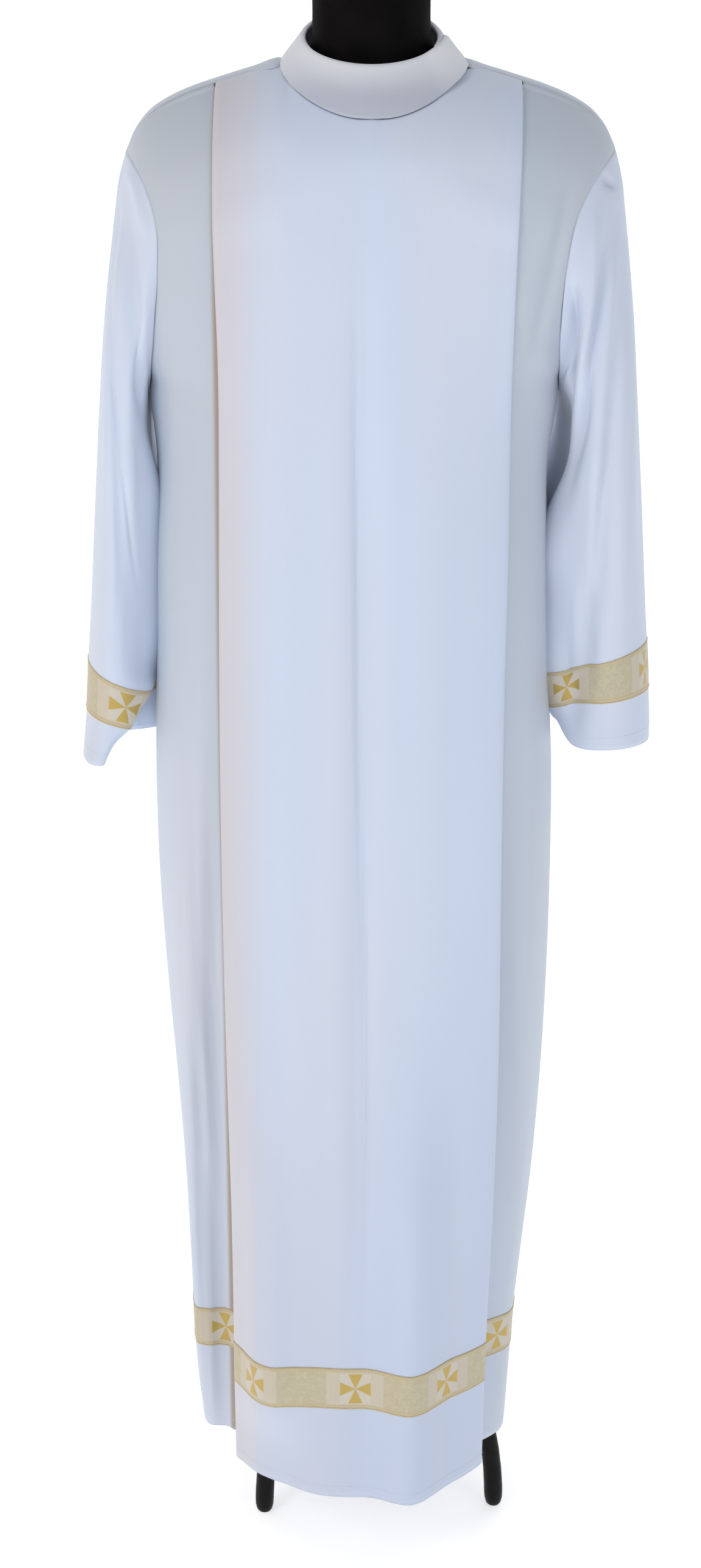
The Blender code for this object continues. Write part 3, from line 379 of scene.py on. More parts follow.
cap_profile = ((0.0470, 1.7190), (0.0520, 1.7188), (0.0560, 1.7165), (0.0585, 1.7130),
               (0.0585, 1.7090), (0.0575, 1.7065), (0.0560, 1.7053))
rings = [circle(AXIS_X, 0.0, z, radius) for radius, z in cap_profile]
fit(solid_of_rings("neck_cap_turned", rings, black_paint), "neck_cap")

# ---- Back
# One width of white crepe, cut with a deep neckline and carried over the top of each
# shoulder. It hangs in soft flutes from the shoulder blades to the hem.
HEM_Z = 0.098
BAND_LOW_Z = HEM_Z + 0.101
BAND_TOP_Z = BAND_LOW_Z + 0.046
UNDERARM_Z = 1.270
ARM_TOP_Z = 1.508
ARM_HALF, ARM_SPREAD = 0.203, 0.044   # armhole seam from the middle: at its waist, and more
SEAM_ROLL = 18.0          # the shoulder seam lies this many degrees in front of the ridge
SHOULDER_X = 0.012        # middle of the shoulders
NECK_Y = -0.030
NECK_HALF, NECK_FRONT, NECK_BACK = 0.089, 0.075, 0.098
SEAM_GAP = 0.0003
CREPE = 0.0012            # thickness of the cloth that shows
FIRST_LEVEL_Z = 1.325
LEVELS = (FIRST_LEVEL_Z, 1.295, UNDERARM_Z, 1.200, 1.100, 0.990, 0.870, 0.750, 0.630, 0.510,
          0.400, 0.310, BAND_TOP_Z, BAND_LOW_Z, 0.140, HEM_Z)
DOWN_ROWS = [("blend", 0.45)] + [("level", z) for z in LEVELS]
BACK_ROWS = [("over", part) for part in (0.0, 0.085, 0.17, 0.26, 0.38, 0.55, 0.76, 1.0)]
BACK_ROWS += DOWN_ROWS
NECK_TURNS = (90.0, 72.0, 54.0, 36.0, 18.0, 0.0)
BACK_SHARES = (1.0, 0.93, 0.85, 0.76, 0.66, 0.57, 0.48)
# Flutes: x at the upper end, x at the lower end, upper end, lower end, half width, height.
BACK_FLUTES = millimetres([
    (-140, -150, 1300, -400, 20, 17), (-72, -84, 1360, -400, 21, 15), (6, 0, 1420, -400, 22, -14),
    (80, 90, 1340, -400, 20, 17), (138, 146, 1280, -400, 19, 14), (-36, -44, 1050, -400, 15, -9),
    (40, 46, 1000, -400, 15, 11),
])
# Finer creases, in the same columns.
BACK_CREASES = millimetres([
    (-120, -60, 1500, 1180, 12, -1.6), (150, 90, 1480, 1160, 13, -1.8),
    (20, 14, 1560, 1100, 10, -1.3), (-165, -172, 1240, 600, 9, -1.8),
    (168, 170, 1220, 660, 9, 1.6), (-108, -118, 1000, 200, 10, -2.2),
    (112, 120, 960, 150, 10, -2.4), (20, 18, 800, 50, 8, 1.4),
])


def fold_height(folds, across, down, fade=4.0, around=False):
    """Sum of soft ridges and troughs at a place across a cloth and down it, or at degrees
    round a tube. A fold fades in over a third of its length."""
    total = np.zeros(np.broadcast(across, down).shape)
    for start_x, end_x, start, end, half_width, height in folds:
        share = (down - start) / (end - start)
        off = across - (start_x + (end_x - start_x) * share)
        if around:
            off = (off + 180.0) % 360.0 - 180.0
        strength = ease(share * 3.0) * ease((1.0 - share) * fade)
        total = total + height * strength * np.exp(-(off / half_width) ** 2)
    return total


def line_height(lines, across, z):
    """Soft troughs and ridges along lines drawn in millimetres, fading out at both ends."""
    total = np.zeros(np.broadcast(across, z).shape)
    for points, half_width, height in lines:
        table = millimetres(points)
        levels = np.linspace(table[:, 0].min(), table[:, 0].max(), 60)
        middle = np.interp(z, levels, [through(table, 1, level) for level in levels])
        ends = np.minimum(z - levels[0], levels[-1] - z) / (levels[-1] - levels[0])
        bell = np.exp(-((across - middle) * 1000.0 / half_width) ** 2)
        total = total + height / 1000.0 * ease(ends * 4.0) * bell
    return total


def normals_of(grid, around=False):
    """Outward unit normals of a grid whose rows run down and columns run anticlockwise."""
    if around:
        across = np.roll(grid, -1, axis=1) - np.roll(grid, 1, axis=1)
    else:
        across = np.gradient(grid, axis=1)
    made = np.cross(np.gradient(grid, axis=0), across)
    return made / norm(made, axis=2, keepdims=True)


def rolled_z(x, roll):
    """Height of the cloth at x, some degrees round the roll from the shoulders' ridge."""
    return (through(SHOULDER, 1, abs(x - SHOULDER_X))
            - ROLL * (1.0 - cos(radians(roll))))


def row_height(row, x, start):
    """Height of a row at x, and the sine of how far it is round the shoulder's roll."""
    kind, value = row
    if kind == "over":
        roll = start + (90.0 - start) * value
        return rolled_z(x, roll), sin(radians(roll))
    if kind == "blend":
        return rolled_z(x, 90.0) * (1.0 - value) + value * FIRST_LEVEL_Z, 1.0
    return value, 1.0


def width_share(x, z):
    """Distance of a place from the body's middle, as a share of its half width."""
    return abs(x - through(BODY, 1, z)) / through(BODY, 2, z)


def depth_share(x, z):
    return max(1.0 - width_share(x, z) ** SQUARENESS, 0.0) ** (1.0 / SQUARENESS)


def turn_of(x, z):
    """How far round the body's plan a place is."""
    return asin(min(width_share(x, z), 1.0) ** (SQUARENESS / 2.0))


def x_of(side, turn, z):
    """x of a place on one side that lies so far round the body's plan."""
    reach = through(BODY, 2, z) * sin(turn) ** (2.0 / SQUARENESS)
    return through(BODY, 1, z) + side * reach


def roll_at(x, y):
    """Degrees round the shoulder's roll of the cloth over a point of the plan."""
    column = 4 if y > 0 else 3
    low, high = 0.0, 90.0
    for _ in range(30):
        middle = (low + high) / 2.0
        z = rolled_z(x, middle)
        reach = through(BODY, column, z) * depth_share(x, z) * sin(radians(middle))
        if reach < abs(y):
            low = middle
        else:
            high = middle
    return copysign((low + high) / 2.0, y)


def start_roll(x, reach):
    """Where the cloth starts at x: at the neckline, or else at the shoulder seam."""
    if abs(x - SHOULDER_X) >= NECK_HALF:
        return -SEAM_ROLL
    offset = abs(x - SHOULDER_X) / NECK_HALF
    return roll_at(x, NECK_Y + reach * sqrt(1.0 - offset**2))


def arm_edge(z):
    """Distance of the armhole seam from the body's middle at a height."""
    turn = (2.0 * z - ARM_TOP_Z - UNDERARM_Z) / (ARM_TOP_Z - UNDERARM_Z)
    turn = min(max(turn, -1.0), 1.0)
    return (ARM_HALF + ARM_SPREAD * max(turn, 0.0) ** 2.5
            + (through(BODY, 2, UNDERARM_Z) - ARM_HALF) * max(-turn, 0.0) ** 3.0)


def outer_x(row, side, start):
    """Where a row meets the armhole seam or the side seam, and its height there."""
    near, far = 0.15, 0.28
    for _ in range(30):
        reach = (near + far) / 2.0
        z = row_height(row, SHOULDER_X + side * reach, start)[0]
        half = through(BODY, 2, z) if z <= UNDERARM_Z else arm_edge(z)
        if side * (SHOULDER_X - through(BODY, 1, z)) + reach < half:
            near = reach
        else:
            far = reach
    return SHOULDER_X + side * reach, z


def back_point(x, row):
    z, roll = row_height(row, x, start_roll(x, NECK_BACK))
    y = through(BODY, 4 if roll > 0 else 3, z) * depth_share(x, z) * roll
    if row[0] != "over":
        calm = ease((1.0 - width_share(x, z)) * 6.0)
        y += float(fold_height(BACK_FLUTES, x, z) * calm)
    return np.array([x, y, z])


NECK_SHARE = 0.40         # where the neck's side lies among the shares of half a row


def share_x(side, share, end, z):
    """x of a column of the back that lies between the neck's side and its edge."""
    if share == 1.0:
        return end
    near = turn_of(SHOULDER_X + side * NECK_HALF, z)
    return x_of(side, near + (turn_of(end, z) - near) * (share - NECK_SHARE)
                / (1.0 - NECK_SHARE), z)


def uv_grid(u, v):
    return np.stack(np.broadcast_arrays(u[None, :], v[:, None]), axis=2)


def cloth_uv(grid):
    """Metres along the rows and down the columns, from the mean spacing of each."""
    down = norm(np.diff(grid, axis=0), axis=2).mean(axis=1)
    across = norm(np.diff(grid, axis=1), axis=2).mean(axis=0)
    return uv_grid(running(across), -running(down))


def hang(name, cad_node, grid, finish, around=False, uv=None,
         thickness=CREPE):
    """A piece of cloth on a grid of points, its thickness on the inside."""
    rows, columns = grid.shape[:2]
    uv = cloth_uv(grid) if uv is None else uv
    girth = uv[0, -1, 0] * columns / (columns - 1.0) if around else 0.0
    made = mesh_piece(name, grid.reshape(-1, 3), ring_faces(rows, columns, around), finish,
                      uv.reshape(-1, 2), girth)
    wall = made.modifiers.new("thickness", "SOLIDIFY")
    wall.thickness, wall.offset, wall.use_even_offset = thickness, -1.0, True
    fit(made, cad_node)


STREAKS = (11.0, 11.0, 1.1)   # how close the streaks of tone are, across and down


def tinted(tree, tones):
    """Two close tones in long soft streaks down the cloth."""
    drawn_out = node(tree, "ShaderNodeMapping", {
        "Vector": node(tree, "ShaderNodeTexCoord")["Object"], "Scale": STREAKS})
    streaks = node(tree, "ShaderNodeTexNoise", {
        "Vector": drawn_out[0], "Scale": 1.0, "Detail": 1.0})
    return mixed(tree, ranged(tree, streaks["Fac"], 0.35, 0.65), *tones)


def turned_tone(tree, colour, other, axis, ends):
    """A colour that turns into another between two places along an axis."""
    where = node(tree, "ShaderNodeTexCoord")["Object"]
    place = node(tree, "ShaderNodeSeparateXYZ", {0: where})[axis]
    return mixed(tree, ranged(tree, place, *ends, interpolation_type="SMOOTHSTEP"), colour,
                 other)


def crepe(name, tones, other, heights, edge=None):
    """A light crepe: soft sheen, fine crossing threads and a pebbled grain. Its two tones
    turn into two others between two heights, and may turn into one tone along an edge."""
    finish, tree, surface = new_finish(name)
    cloth_map = node(tree, "ShaderNodeUVMap", uv_map="cloth")["UV"]
    crossing = node(tree, "ShaderNodeMath", {
        place: ribbed(tree, cloth_map, direction, 420.0, 1.2, 3.0)
        for place, direction in enumerate("XY")}, operation="MAXIMUM")
    pebbled = node(tree, "ShaderNodeMath", {
        0: crossing[0], 1: mottled(tree, 1400.0, 2.0, 0.0, 0.8)}, operation="ADD")
    colour = turned_tone(tree, tinted(tree, tones), tinted(tree, other), 2, heights)
    if edge:
        colour = turned_tone(tree, colour, edge[2], 0, edge[:2])
    wire(tree, surface, {
        "Roughness": 0.62, "Sheen Weight": 0.45, "Sheen Roughness": 0.45,
        "Sheen Tint": (0.86, 0.93, 1.0, 1.0), "Specular IOR Level": 0.35,
        "Normal": raised(tree, pebbled[0], 0.20, 0.0002), "Base Color": colour})
    return finish


# The white crepe's tones turn darker from 0.85 m down to the hem: painted shade on the lower
# skirt.
WHITE_TONES = (((0.570, 0.620, 0.755), (0.545, 0.620, 0.785)),
               ((0.640, 0.690, 0.810), (0.605, 0.690, 0.850)), (0.10, 0.85))
white_crepe = crepe("white_crepe", *WHITE_TONES)
back_crepe = crepe("back_crepe", ((0.580, 0.635, 0.770), (0.555, 0.635, 0.800)),
                   ((0.585, 0.620, 0.705), (0.565, 0.625, 0.730)), (0.45, 1.05))

CELL = 0.0065             # spacing of the cloth's points
back_grid = []
for row in BACK_ROWS:
    line = []
    for side in (1, -1):
        end, z = outer_x(row, side, -SEAM_ROLL)
        half = [share_x(side, share, end, z) for share in BACK_SHARES]
        half += [SHOULDER_X + side * NECK_HALF * sin(radians(turn))
                 for turn in NECK_TURNS]
        line += [back_point(x, row) for x in (half if side > 0 else half[:-1][::-1])]
    line[0][1] += SEAM_GAP
    line[-1][1] += SEAM_GAP
    back_grid.append(line)
back_grid = np.array(back_grid)
back_grid[0, :, 1] += 2.0 * SEAM_GAP
arm_rows = BACK_ROWS.index(("level", UNDERARM_Z)) + 1   # rows along an armhole
back_arm_edges = {1: back_grid[:arm_rows, 0], -1: back_grid[:arm_rows, -1]}


def creased(grid, creases):
    """Raise the creases of a table out of a grid, less towards its side edges."""
    place = np.arange(grid.shape[1])
    calm = ease(np.minimum(place, place[::-1]) / 6.0)[None, :]
    height = fold_height(creases, grid[:, :, 0], grid[:, :, 2]) * calm
    return grid + normals_of(grid) * height[:, :, None]


def cloth_grid(coarse, creases):
    """The cloth's fine grid, and the rows of it that the coarse grid's rows became."""
    grid, rows = finer(finer(coarse, CELL, 1)[0], CELL, 0)
    return creased(grid, creases), rows


back_cloth, back_rows = cloth_grid(back_grid, BACK_CREASES)
hang("back_cloth", "back", back_cloth, back_crepe)

# ---- Side fronts
# Two narrow fronts of the same crepe. Each starts under a box pleat, a little behind it
# at the chest and far behind it at the hem, and ends at the armhole and the side seam.
PLEAT_RETURN = 0.030      # cloth folded back under the pleat's edge
PLEAT_RADIUS = 0.0022
FRONT_ROWS = [("over", part) for part in (0.0, 0.035, 0.07, 0.16, 0.28, 0.44, 0.68, 1.0)]
FRONT_ROWS += DOWN_ROWS
TUCKED_ROW = 2            # from this row down the side fronts lie under the pleats
FIRST_RECESS = {0: 0.0, 1: 0.4}   # share of the full step behind the pleat in the first rows
SIDE_SHARES = (0.0, 0.10, 0.22, 0.33, 0.44, 0.55, 0.66, 0.77, 0.88, 1.0)
# Box pleats: height, middle of the centre front, its half width, and how far the side
# front lies behind it on the left and on the right.
PLEATS = millimetres([
    (1600, 10, 154.5, 5.6, 5), (1440, 6, 151, 6.2, 5), (1300, 6, 147.5, 6.8, 5.4),
    (1120, 5, 148, 8.8, 6.6), (950, 3, 147.5, 14, 10.5), (750, 3, 146.8, 30, 18),
    (550, 4, 145.5, 55, 30), (400, 3, 143, 75, 42), (240, 1, 140, 95, 58), (92, 0, 138.5, 95, 55),
])
SIDE_FLUTES = millimetres([
    (-186, -190, 1020, -100, 13, 12), (-166, -162, 800, -100, 10, -7),
    (184, 168, 1000, -100, 14, 10), (190, 188, 1360, 1100, 12, 5),
])
SIDE_CREASES = {
    -1: millimetres([
        (-168, -158, 1180, 300, 6, 2.2), (-180, -172, 1420, 980, 9, -1.4),
        (-176, -180, 600, 80, 7, -2.4), (-157, -150, 950, -100, 8.5, -5.5),
        (-170, -163, 900, -100, 7, 4.5),
    ]),
    1: millimetres([
        (214, 172, 1500, 1300, 7, -3), (196, 160, 1480, 1340, 8, 1.8),
        (172, 164, 1280, 780, 9, -1.4), (176, 160, 620, 80, 8, -2),
    ]),
}


def front_start(x):
    return abs(start_roll(x, -NECK_FRONT))


def row_level(row, x):
    return row_height(row, x, front_start(x))[0]


def front_point(x, row, recess=0.0):
    """A point of the fronts at x in a row, set back by a recess."""
    z, roll = row_height(row, x, front_start(x))
    depth = through(BODY, 3, z) * depth_share(x, z)
    return np.array([x, (recess - depth) * roll, z - recess * sqrt(1.0 - roll**2)])


def pleat_edge(row, side):
    """x of the folded edge of the centre front on one side."""
    x = SHOULDER_X + side * 0.15    # near enough to start from
    for _ in range(4):
        z = row_level(row, x)
        x = through(PLEATS, 1, z) + side * through(PLEATS, 2, z)
    return x


def side_point(side, share, row):
    """A point of a side front, from under the pleat (0) to the armhole or side seam (1)."""
    edge = pleat_edge(row, side)
    level = row_level(row, edge)
    place = FRONT_ROWS.index(row)
    start = edge - side * PLEAT_RETURN if place >= TUCKED_ROW else edge + side * SEAM_GAP
    x, z = outer_x(row, side, SEAM_ROLL)
    first = turn_of(start, level)
    turn = first + (turn_of(x, z) - first) * share
    for _ in range(4):
        x = x_of(side, turn, row_level(row, x))
    recess = FIRST_RECESS.get(place, 1.0) * through(PLEATS, 3 if side < 0 else 4, level)
    point = front_point(x, row, recess * (1.0 - ease(share)))
    inside = ease(share * 4.0) * ease((1.0 - share) * 5.0)
    point[1] -= float(fold_height(SIDE_FLUTES, x, point[2]) * inside)
    return point


# One layer over the black form: it looks a little greyer than the doubled centre front where the
# form shows through it, and this grey also stands in for the shade on the recessed side fronts, as
# painted shade. The right one is painted darker than the left lower down: painted shade, as the
# light falls from the left. Below the form's own hem the left one hangs free and looks as light as
# the rest, and the dark warm tone in the depth of its pleat is a painted shadow.
GREY_TONES = ((0.530, 0.565, 0.635), (0.515, 0.575, 0.660))
side_cloths, side_rows, front_arm_edges = {}, {}, {}
for side, name, area, tones, heights, edge in (
        (-1, "left", 0.233, ((0.615, 0.645, 0.730), (0.590, 0.650, 0.770)), (0.62, 1.25),
         (-0.1570, -0.1515, (0.385, 0.320, 0.275))),
        (1, "right", 0.223, ((0.570, 0.610, 0.690), (0.555, 0.615, 0.715)), (0.85, 1.30),
         None)):
    grid = np.array([[side_point(side, share, row) for share in SIDE_SHARES[::side]]
                     for row in FRONT_ROWS])
    front_arm_edges[side] = grid[:arm_rows, -1 if side > 0 else 0]
    side_cloths[side], side_rows[side] = cloth_grid(grid, SIDE_CREASES[side])
    hang("side_front_" + name, "front_side_" + name, side_cloths[side],
         crepe("single_crepe_" + name, tones, GREY_TONES, heights, edge))

# ---- Centre front
# The wide middle of the front, whose two long edges are box pleats: each is folded under
# on a soft edge and carried back to the side front that runs out from beneath it.
HALF_STEPS = (0.018, 0.034, 0.05, 0.07, 0.09, 0.16, 0.28, 0.40, 0.50, 0.576, 0.70, 0.82, 0.93,
              1.0)
PANEL_STEPS = [-step for step in HALF_STEPS[::-1]] + [0.0, *HALF_STEPS]
FOLD_ANGLES = (45.0, 90.0, 135.0, 180.0)
PANEL_FLUTES = millimetres([
    (6, -2, 1500, 300, 13, -7), (72, 70, 1420, 450, 40, 4), (-72, -70, 1420, 450, 40, 4),
    (60, 56, 620, -200, 30, 24), (-105, -100, 620, -200, 26, 14), (-141, -143, 600, -200, 22, -22),
    (-104, -98, 210, -70, 36, -30),
])
PANEL_CREASES = millimetres([
    (-90, -96, 1460, 700, 18, 1.2), (-46, -52, 1400, 520, 14, -1.1), (34, 30, 1340, 800, 12, 0.9),
    (108, 102, 1300, 600, 16, -1), (-30, -44, 720, 100, 16, -1.6), (10, 4, 500, 20, 14, -1.8),
    (104, 100, 600, 40, 12, -1.6),
])
# The pressed crease down the middle: points (height, x), half width, height.
PANEL_LINES = (
    (((1450, -4.5), (1330, -4), (1110, -2.2), (880, 0), (655, 5), (450, 7), (240, 8.5)), 3, -3),
)


def panel_point(x, row):
    point = front_point(x, row)
    point[1] -= float(fold_height(PANEL_FLUTES, x, point[2]))
    return point


def panel_row(row):
    """One row of the centre front, from return to return."""
    middle = (pleat_edge(row, 1) + pleat_edge(row, -1)) / 2.0
    place = FRONT_ROWS.index(row)
    direction = 1 if place < len(FRONT_ROWS) - 1 else -1
    face = []
    for step in PANEL_STEPS:
        edge = pleat_edge(row, 1 if step > 0 else -1)
        face.append(panel_point(middle + (abs(edge - middle) - PLEAT_RADIUS) * step, row))
    sides = []
    for side, end, inner in ((-1, 0, 1), (1, -1, -2)):
        outward = face[end] - face[inner]
        outward /= norm(outward)
        down = (panel_point(face[end][0], FRONT_ROWS[place + direction])
                - panel_point(face[end][0], row))
        inward = np.cross(outward, down) * side * direction
        inward /= norm(inward)
        turned = [face[end] + PLEAT_RADIUS * (outward * sin(turn)
                                              + inward * (1.0 - cos(turn)))
                  for turn in np.radians(FOLD_ANGLES)]
        if place >= TUCKED_ROW:
            tuck = side_point(side, 0.0, row)
            tuck[1] -= LAYER
        else:
            tuck = turned[-1] - outward * (PLEAT_RETURN - PLEAT_RADIUS)
        sides.append(turned + [turned[-1] * 0.5 + tuck * 0.5, tuck])
    return sides[0][::-1] + face + sides[1]


panel_fine, panel_columns = finer([panel_row(row) for row in FRONT_ROWS], CELL, 1)
panel_fine, panel_rows = finer(panel_fine, CELL, 0)
turned_points = len(FOLD_ANGLES) + 2    # columns of a fold and what it folds under
face_columns = slice(panel_columns[turned_points], panel_columns[-turned_points - 1] + 1)
panel_cloth = panel_fine.copy()
panel_cloth[:, face_columns] = creased(panel_fine, PANEL_CREASES)[:, face_columns]
# The pressed crease shows from the neckline down.
pressed = line_height(PANEL_LINES, panel_cloth[:, :, 0], panel_cloth[:, :, 2])[:, :, None]
panel_cloth += normals_of(panel_fine) * pressed * (panel_cloth[:, :, 1:2] < -0.05)
# Towards its left edge the centre front is painted a little creamy: painted warm light, as falls
# on it from the left.
front_crepe = crepe("front_crepe", *WHITE_TONES, (-0.084, -0.158, (0.625, 0.608, 0.655)))
hang("centre_front", "front_panel", panel_cloth, front_crepe,
     thickness=0.0010)

# ---- Sleeves
# Two set-in sleeves of the same crepe, each one tube from its armhole seam, whose edge it
# shares with the fronts and the back, to a plain hem. They hang a little forward.
SLEEVE_X = 0.0100         # middle between the two sleeves
ARMHOLE_SLIMNESS = 1.35
# Sleeve outline: height, distance of the outer edge from the middle.
SLEEVE_OUTER = millimetres([
    (880, 304.5), (920, 302.5), (968, 300.5), (1034, 295.5), (1165, 286.5), (1292, 277),
    (1354, 271.5), (1446, 262.5), (1480, 258), (1510, 249),
])
# Sleeve sections: share of the way down, height of outer edge, height of inner edge,
# clear distance inner edge to middle (left, right), half depth to the front and back.
SLEEVE = millimetres([
    (0, 1506, 1270, 227, 197.5, 88, 80), (0.045, 1478, 1264, 229.2, 199, 89, 82),
    (0.11, 1440, 1252, 229.2, 198.5, 90, 84), (0.2, 1385, 1225, 229.2, 197.5, 90, 86),
    (0.32, 1310, 1180, 229.2, 197, 89, 87), (0.5, 1190, 1090, 229.2, 197.5, 86, 86),
    (0.7, 1060, 1010, 230, 198.5, 83, 84), (0.85, 975, 950, 230.5, 199, 80, 82),
    (1, 893, 893, 231, 199, 78, 80),
], 1)
# How much lower a sleeve hangs: share of the way down, drop.
SLEEVE_DROP = {
    -1: millimetres([(0, 0), (0.35, 2), (0.6, 11), (0.79, 19.5), (0.89, 19), (1, 12)], 1),
    1: millimetres([(0, 0), (0.7, 0), (0.89, 0), (1, -5)], 1),
}
# Drawn rings of the cuffs, the left one folded under at its front: angle, x, y, rise.
LEFT_CUFF_TOP = millimetres([
    (0, -289.5, 0, 0), (25, -286.5, -33, 0), (50, -278.5, -60, 0), (75, -265, -78, 0),
    (100, -248, -80, 0), (125, -232, -69, 0), (145, -222, -52, 0), (158, -217.5, -38, 0),
    (166, -224, -28, 0), (174, -228.5, -16, 0), (182, -226.5, -2, 0), (192, -221.5, 14, 0),
    (205, -218.5, 36, 0), (225, -227, 62, 0), (250, -244, 80, 0), (275, -259, 82, 0),
    (305, -276, 66, 0), (332, -287, 34, 0),
], 1)
LEFT_CUFF_MIDDLE = millimetres([
    (0, -292.5, -6, 0), (25, -289.5, -38, 0), (50, -281, -62, 0), (75, -269, -75.5, 0),
    (100, -256.5, -77.5, 0), (125, -246, -73, 0), (138, -242.2, -66, 0), (148, -246.5, -57, 1),
    (158, -254, -43, 2), (167, -255.5, -25, 4), (176, -247, -6, 5), (186, -233, 12, 5),
    (198, -220.5, 33, 5), (212, -219, 56, 4), (235, -231, 77, 4), (265, -254, 83, 3),
    (300, -275.5, 66, 2), (330, -288, 32, 0),
], 1)
LEFT_CUFF_END = millimetres([
    (0, -295.5, -12, 6), (25, -294.5, -38, 5), (50, -290.5, -60, 3), (75, -282, -75.5, 0),
    (92, -273, -78.5, 0), (105, -266.8, -72.5, 0), (115, -269, -61, 2), (128, -273, -42, 6),
    (142, -272.5, -17, 10), (156, -263, 6, 14), (170, -248, 22, 14), (184, -232, 37, 13),
    (198, -220, 54, 12), (212, -220, 70, 12), (235, -232, 82, 12), (265, -254, 85, 10),
    (300, -275.5, 67, 8), (330, -290, 30, 7),
], 1)
RIGHT_CUFF_END = millimetres([
    (0, 313.5, 0, 0), (30, 306.6, -39, 0), (60, 287.5, -67.5, 0), (85, 266, -79, 0),
    (105, 248, -79, 0), (120, 235, -74, 0), (133, 226.2, -64, 1), (146, 221.5, -48, 3),
    (160, 219, -28, 6), (175, 217, -4, 10), (190, 217, 22, 12), (210, 221.5, 48, 10),
    (240, 240, 70.5, 4), (270, 261.3, 80, 0), (300, 287.5, 69.3, 0), (330, 306.6, 40, 0),
], 1)
# Share where a cuff leaves its plain section, then the shares of its drawn rings.
CUFF_RINGS = {
    -1: ((0.745, 0.80, 0.90, 1.0), (LEFT_CUFF_TOP, LEFT_CUFF_MIDDLE, LEFT_CUFF_END)),
    1: ((0.89, 1.0), (RIGHT_CUFF_END,)),
}
# Folds: angle at the armhole, angle at the cuff (0 outer edge, 90 front, 180 inner edge),
# share where it starts and ends, half width in degrees, height.
SLEEVE_FOLDS = {
    -1: millimetres([
        (62, 120, 0.02, 0.75, 15, -8), (30, 70, 0.05, 0.55, 14, 4.5),
        (250, 235, 0.05, 0.9, 18, -7),
    ], 5),
    1: millimetres([
        (55, 148, 0.02, 1.1, 14, -9.5), (20, 75, 0.1, 0.8, 15, 5), (262, 240, 0.05, 0.9, 18, -7),
    ], 5),
}
SLEEVE_CREASES = {
    -1: millimetres([
        (40, 112, 0, 0.62, 7, -2.6), (18, 52, 0, 0.3, 6, -1.8), (340, 318, 0.02, 0.4, 8, -1.8),
        (292, 262, 0.04, 0.7, 8, -2.2), (215, 205, 0.1, 0.8, 8, 1.8),
        (216, 212, 0.15, 0.95, 22, 10), (146, 148, 0.15, 0.85, 24, 13),
        (164, 164, 0.2, 0.82, 18, 8),
    ], 5),
    1: millimetres([
        (345, 322, 0.02, 0.42, 8, -1.8), (296, 268, 0.04, 0.72, 8, -2.2),
        (212, 204, 0.12, 0.85, 8, 1.8), (168, 174, 0.02, 0.44, 20, -12),
        (222, 216, 0.1, 1.15, 24, 21), (150, 150, 0.25, 1.02, 24, 15), (164, 164, 0.24, 1, 20, 11),
    ], 5),
}
# Creases of the front half: points (height, x) of a line, half width, height.
SLEEVE_LINES = {
    -1: (
        (((1485, -230), (1394, -229.1), (1340, -224.3), (1268, -219.8), (1150, -210)), 7, -7),
        (((1500, -233), (1460, -220), (1420, -210)), 6, 3),
        (((1440, -242), (1300, -240), (1120, -233)), 12, 3.5),
        (((1200, -258), (1080, -252), (980, -248)), 12, -2.5),
    ),
    1: (
        (((1450, 249), (1377, 242.9), (1333, 236.8), (1297, 231), (1244, 225.6), (1191, 217),
          (1151, 212.3), (1060, 201)), 6, -9.5),
        (((1470, 236.5), (1427, 233), (1368, 232.5), (1315, 226.2), (1240, 219)), 6.5, 4),
        (((1395, 212), (1340, 212), (1300, 209), (1250, 206), (1190, 203)), 6.5, -15),
        (((1440, 254.5), (1368, 250), (1280, 244), (1150, 239)), 7, 4),
        (((1240, 237.4), (1176, 239.1), (1060, 240.2)), 8, 2.2),
        (((1487, 233), (1480, 245), (1470, 256)), 6, -5),
        (((1100, 204), (1024, 212), (950, 220)), 8, -9.5),
    ),
}
CUFF_SHARES = (0.793, 0.842, 0.890)
SLEEVE_SHARES = (0.0, 0.022, 0.05, 0.09, 0.14, 0.20, 0.28, 0.37, 0.47, 0.57, 0.68, 0.745,
                 *CUFF_SHARES, 0.930, 0.968, 1.0)
SLEEVE_CELL = 0.0045      # spacing of the sleeves' points


def sleeve_ends(side, share):
    """The outer and the inner edge of one sleeve section."""
    drop = through(SLEEVE_DROP[side], 1, share)
    outer_z = through(SLEEVE, 1, share) - drop
    outer = np.array([SLEEVE_X + side * through(SLEEVE_OUTER, 1, outer_z), 0.0, outer_z])
    inner = np.array([SLEEVE_X + side * through(SLEEVE, 3 if side < 0 else 4, share), 0.0,
                      through(SLEEVE, 2, share) - drop])
    return outer, inner


def drawn_cuff(side, share, angle, point):
    """A point of the plain sleeve, drawn over to the rings of its cuff."""
    shares, rings = CUFF_RINGS[side]
    stops = [np.array([point[0], point[1], 0.0])]
    turn = np.array([360.0, 0.0, 0.0, 0.0])
    for ring in rings:
        around = np.vstack([ring[-2:] - turn, ring, ring[:2] + turn])
        stops.append(np.array([through(around, column, angle) for column in (1, 2, 3)]))
    x, y, rise = [np.interp(share, shares, values) for values in np.array(stops).T]
    return np.array([x, y, point[2] + rise])


def sleeve_point(side, share, angle):
    outer, inner = sleeve_ends(side, share)
    turn = radians(angle)
    depth = through(SLEEVE, 5 if sin(turn) > 0.0 else 6, share)
    plain = (outer + inner) / 2.0 + (outer - inner) / 2.0 * cos(turn)
    plain[1] -= depth * sin(turn)
    return drawn_cuff(side, share, angle % 360.0, plain)


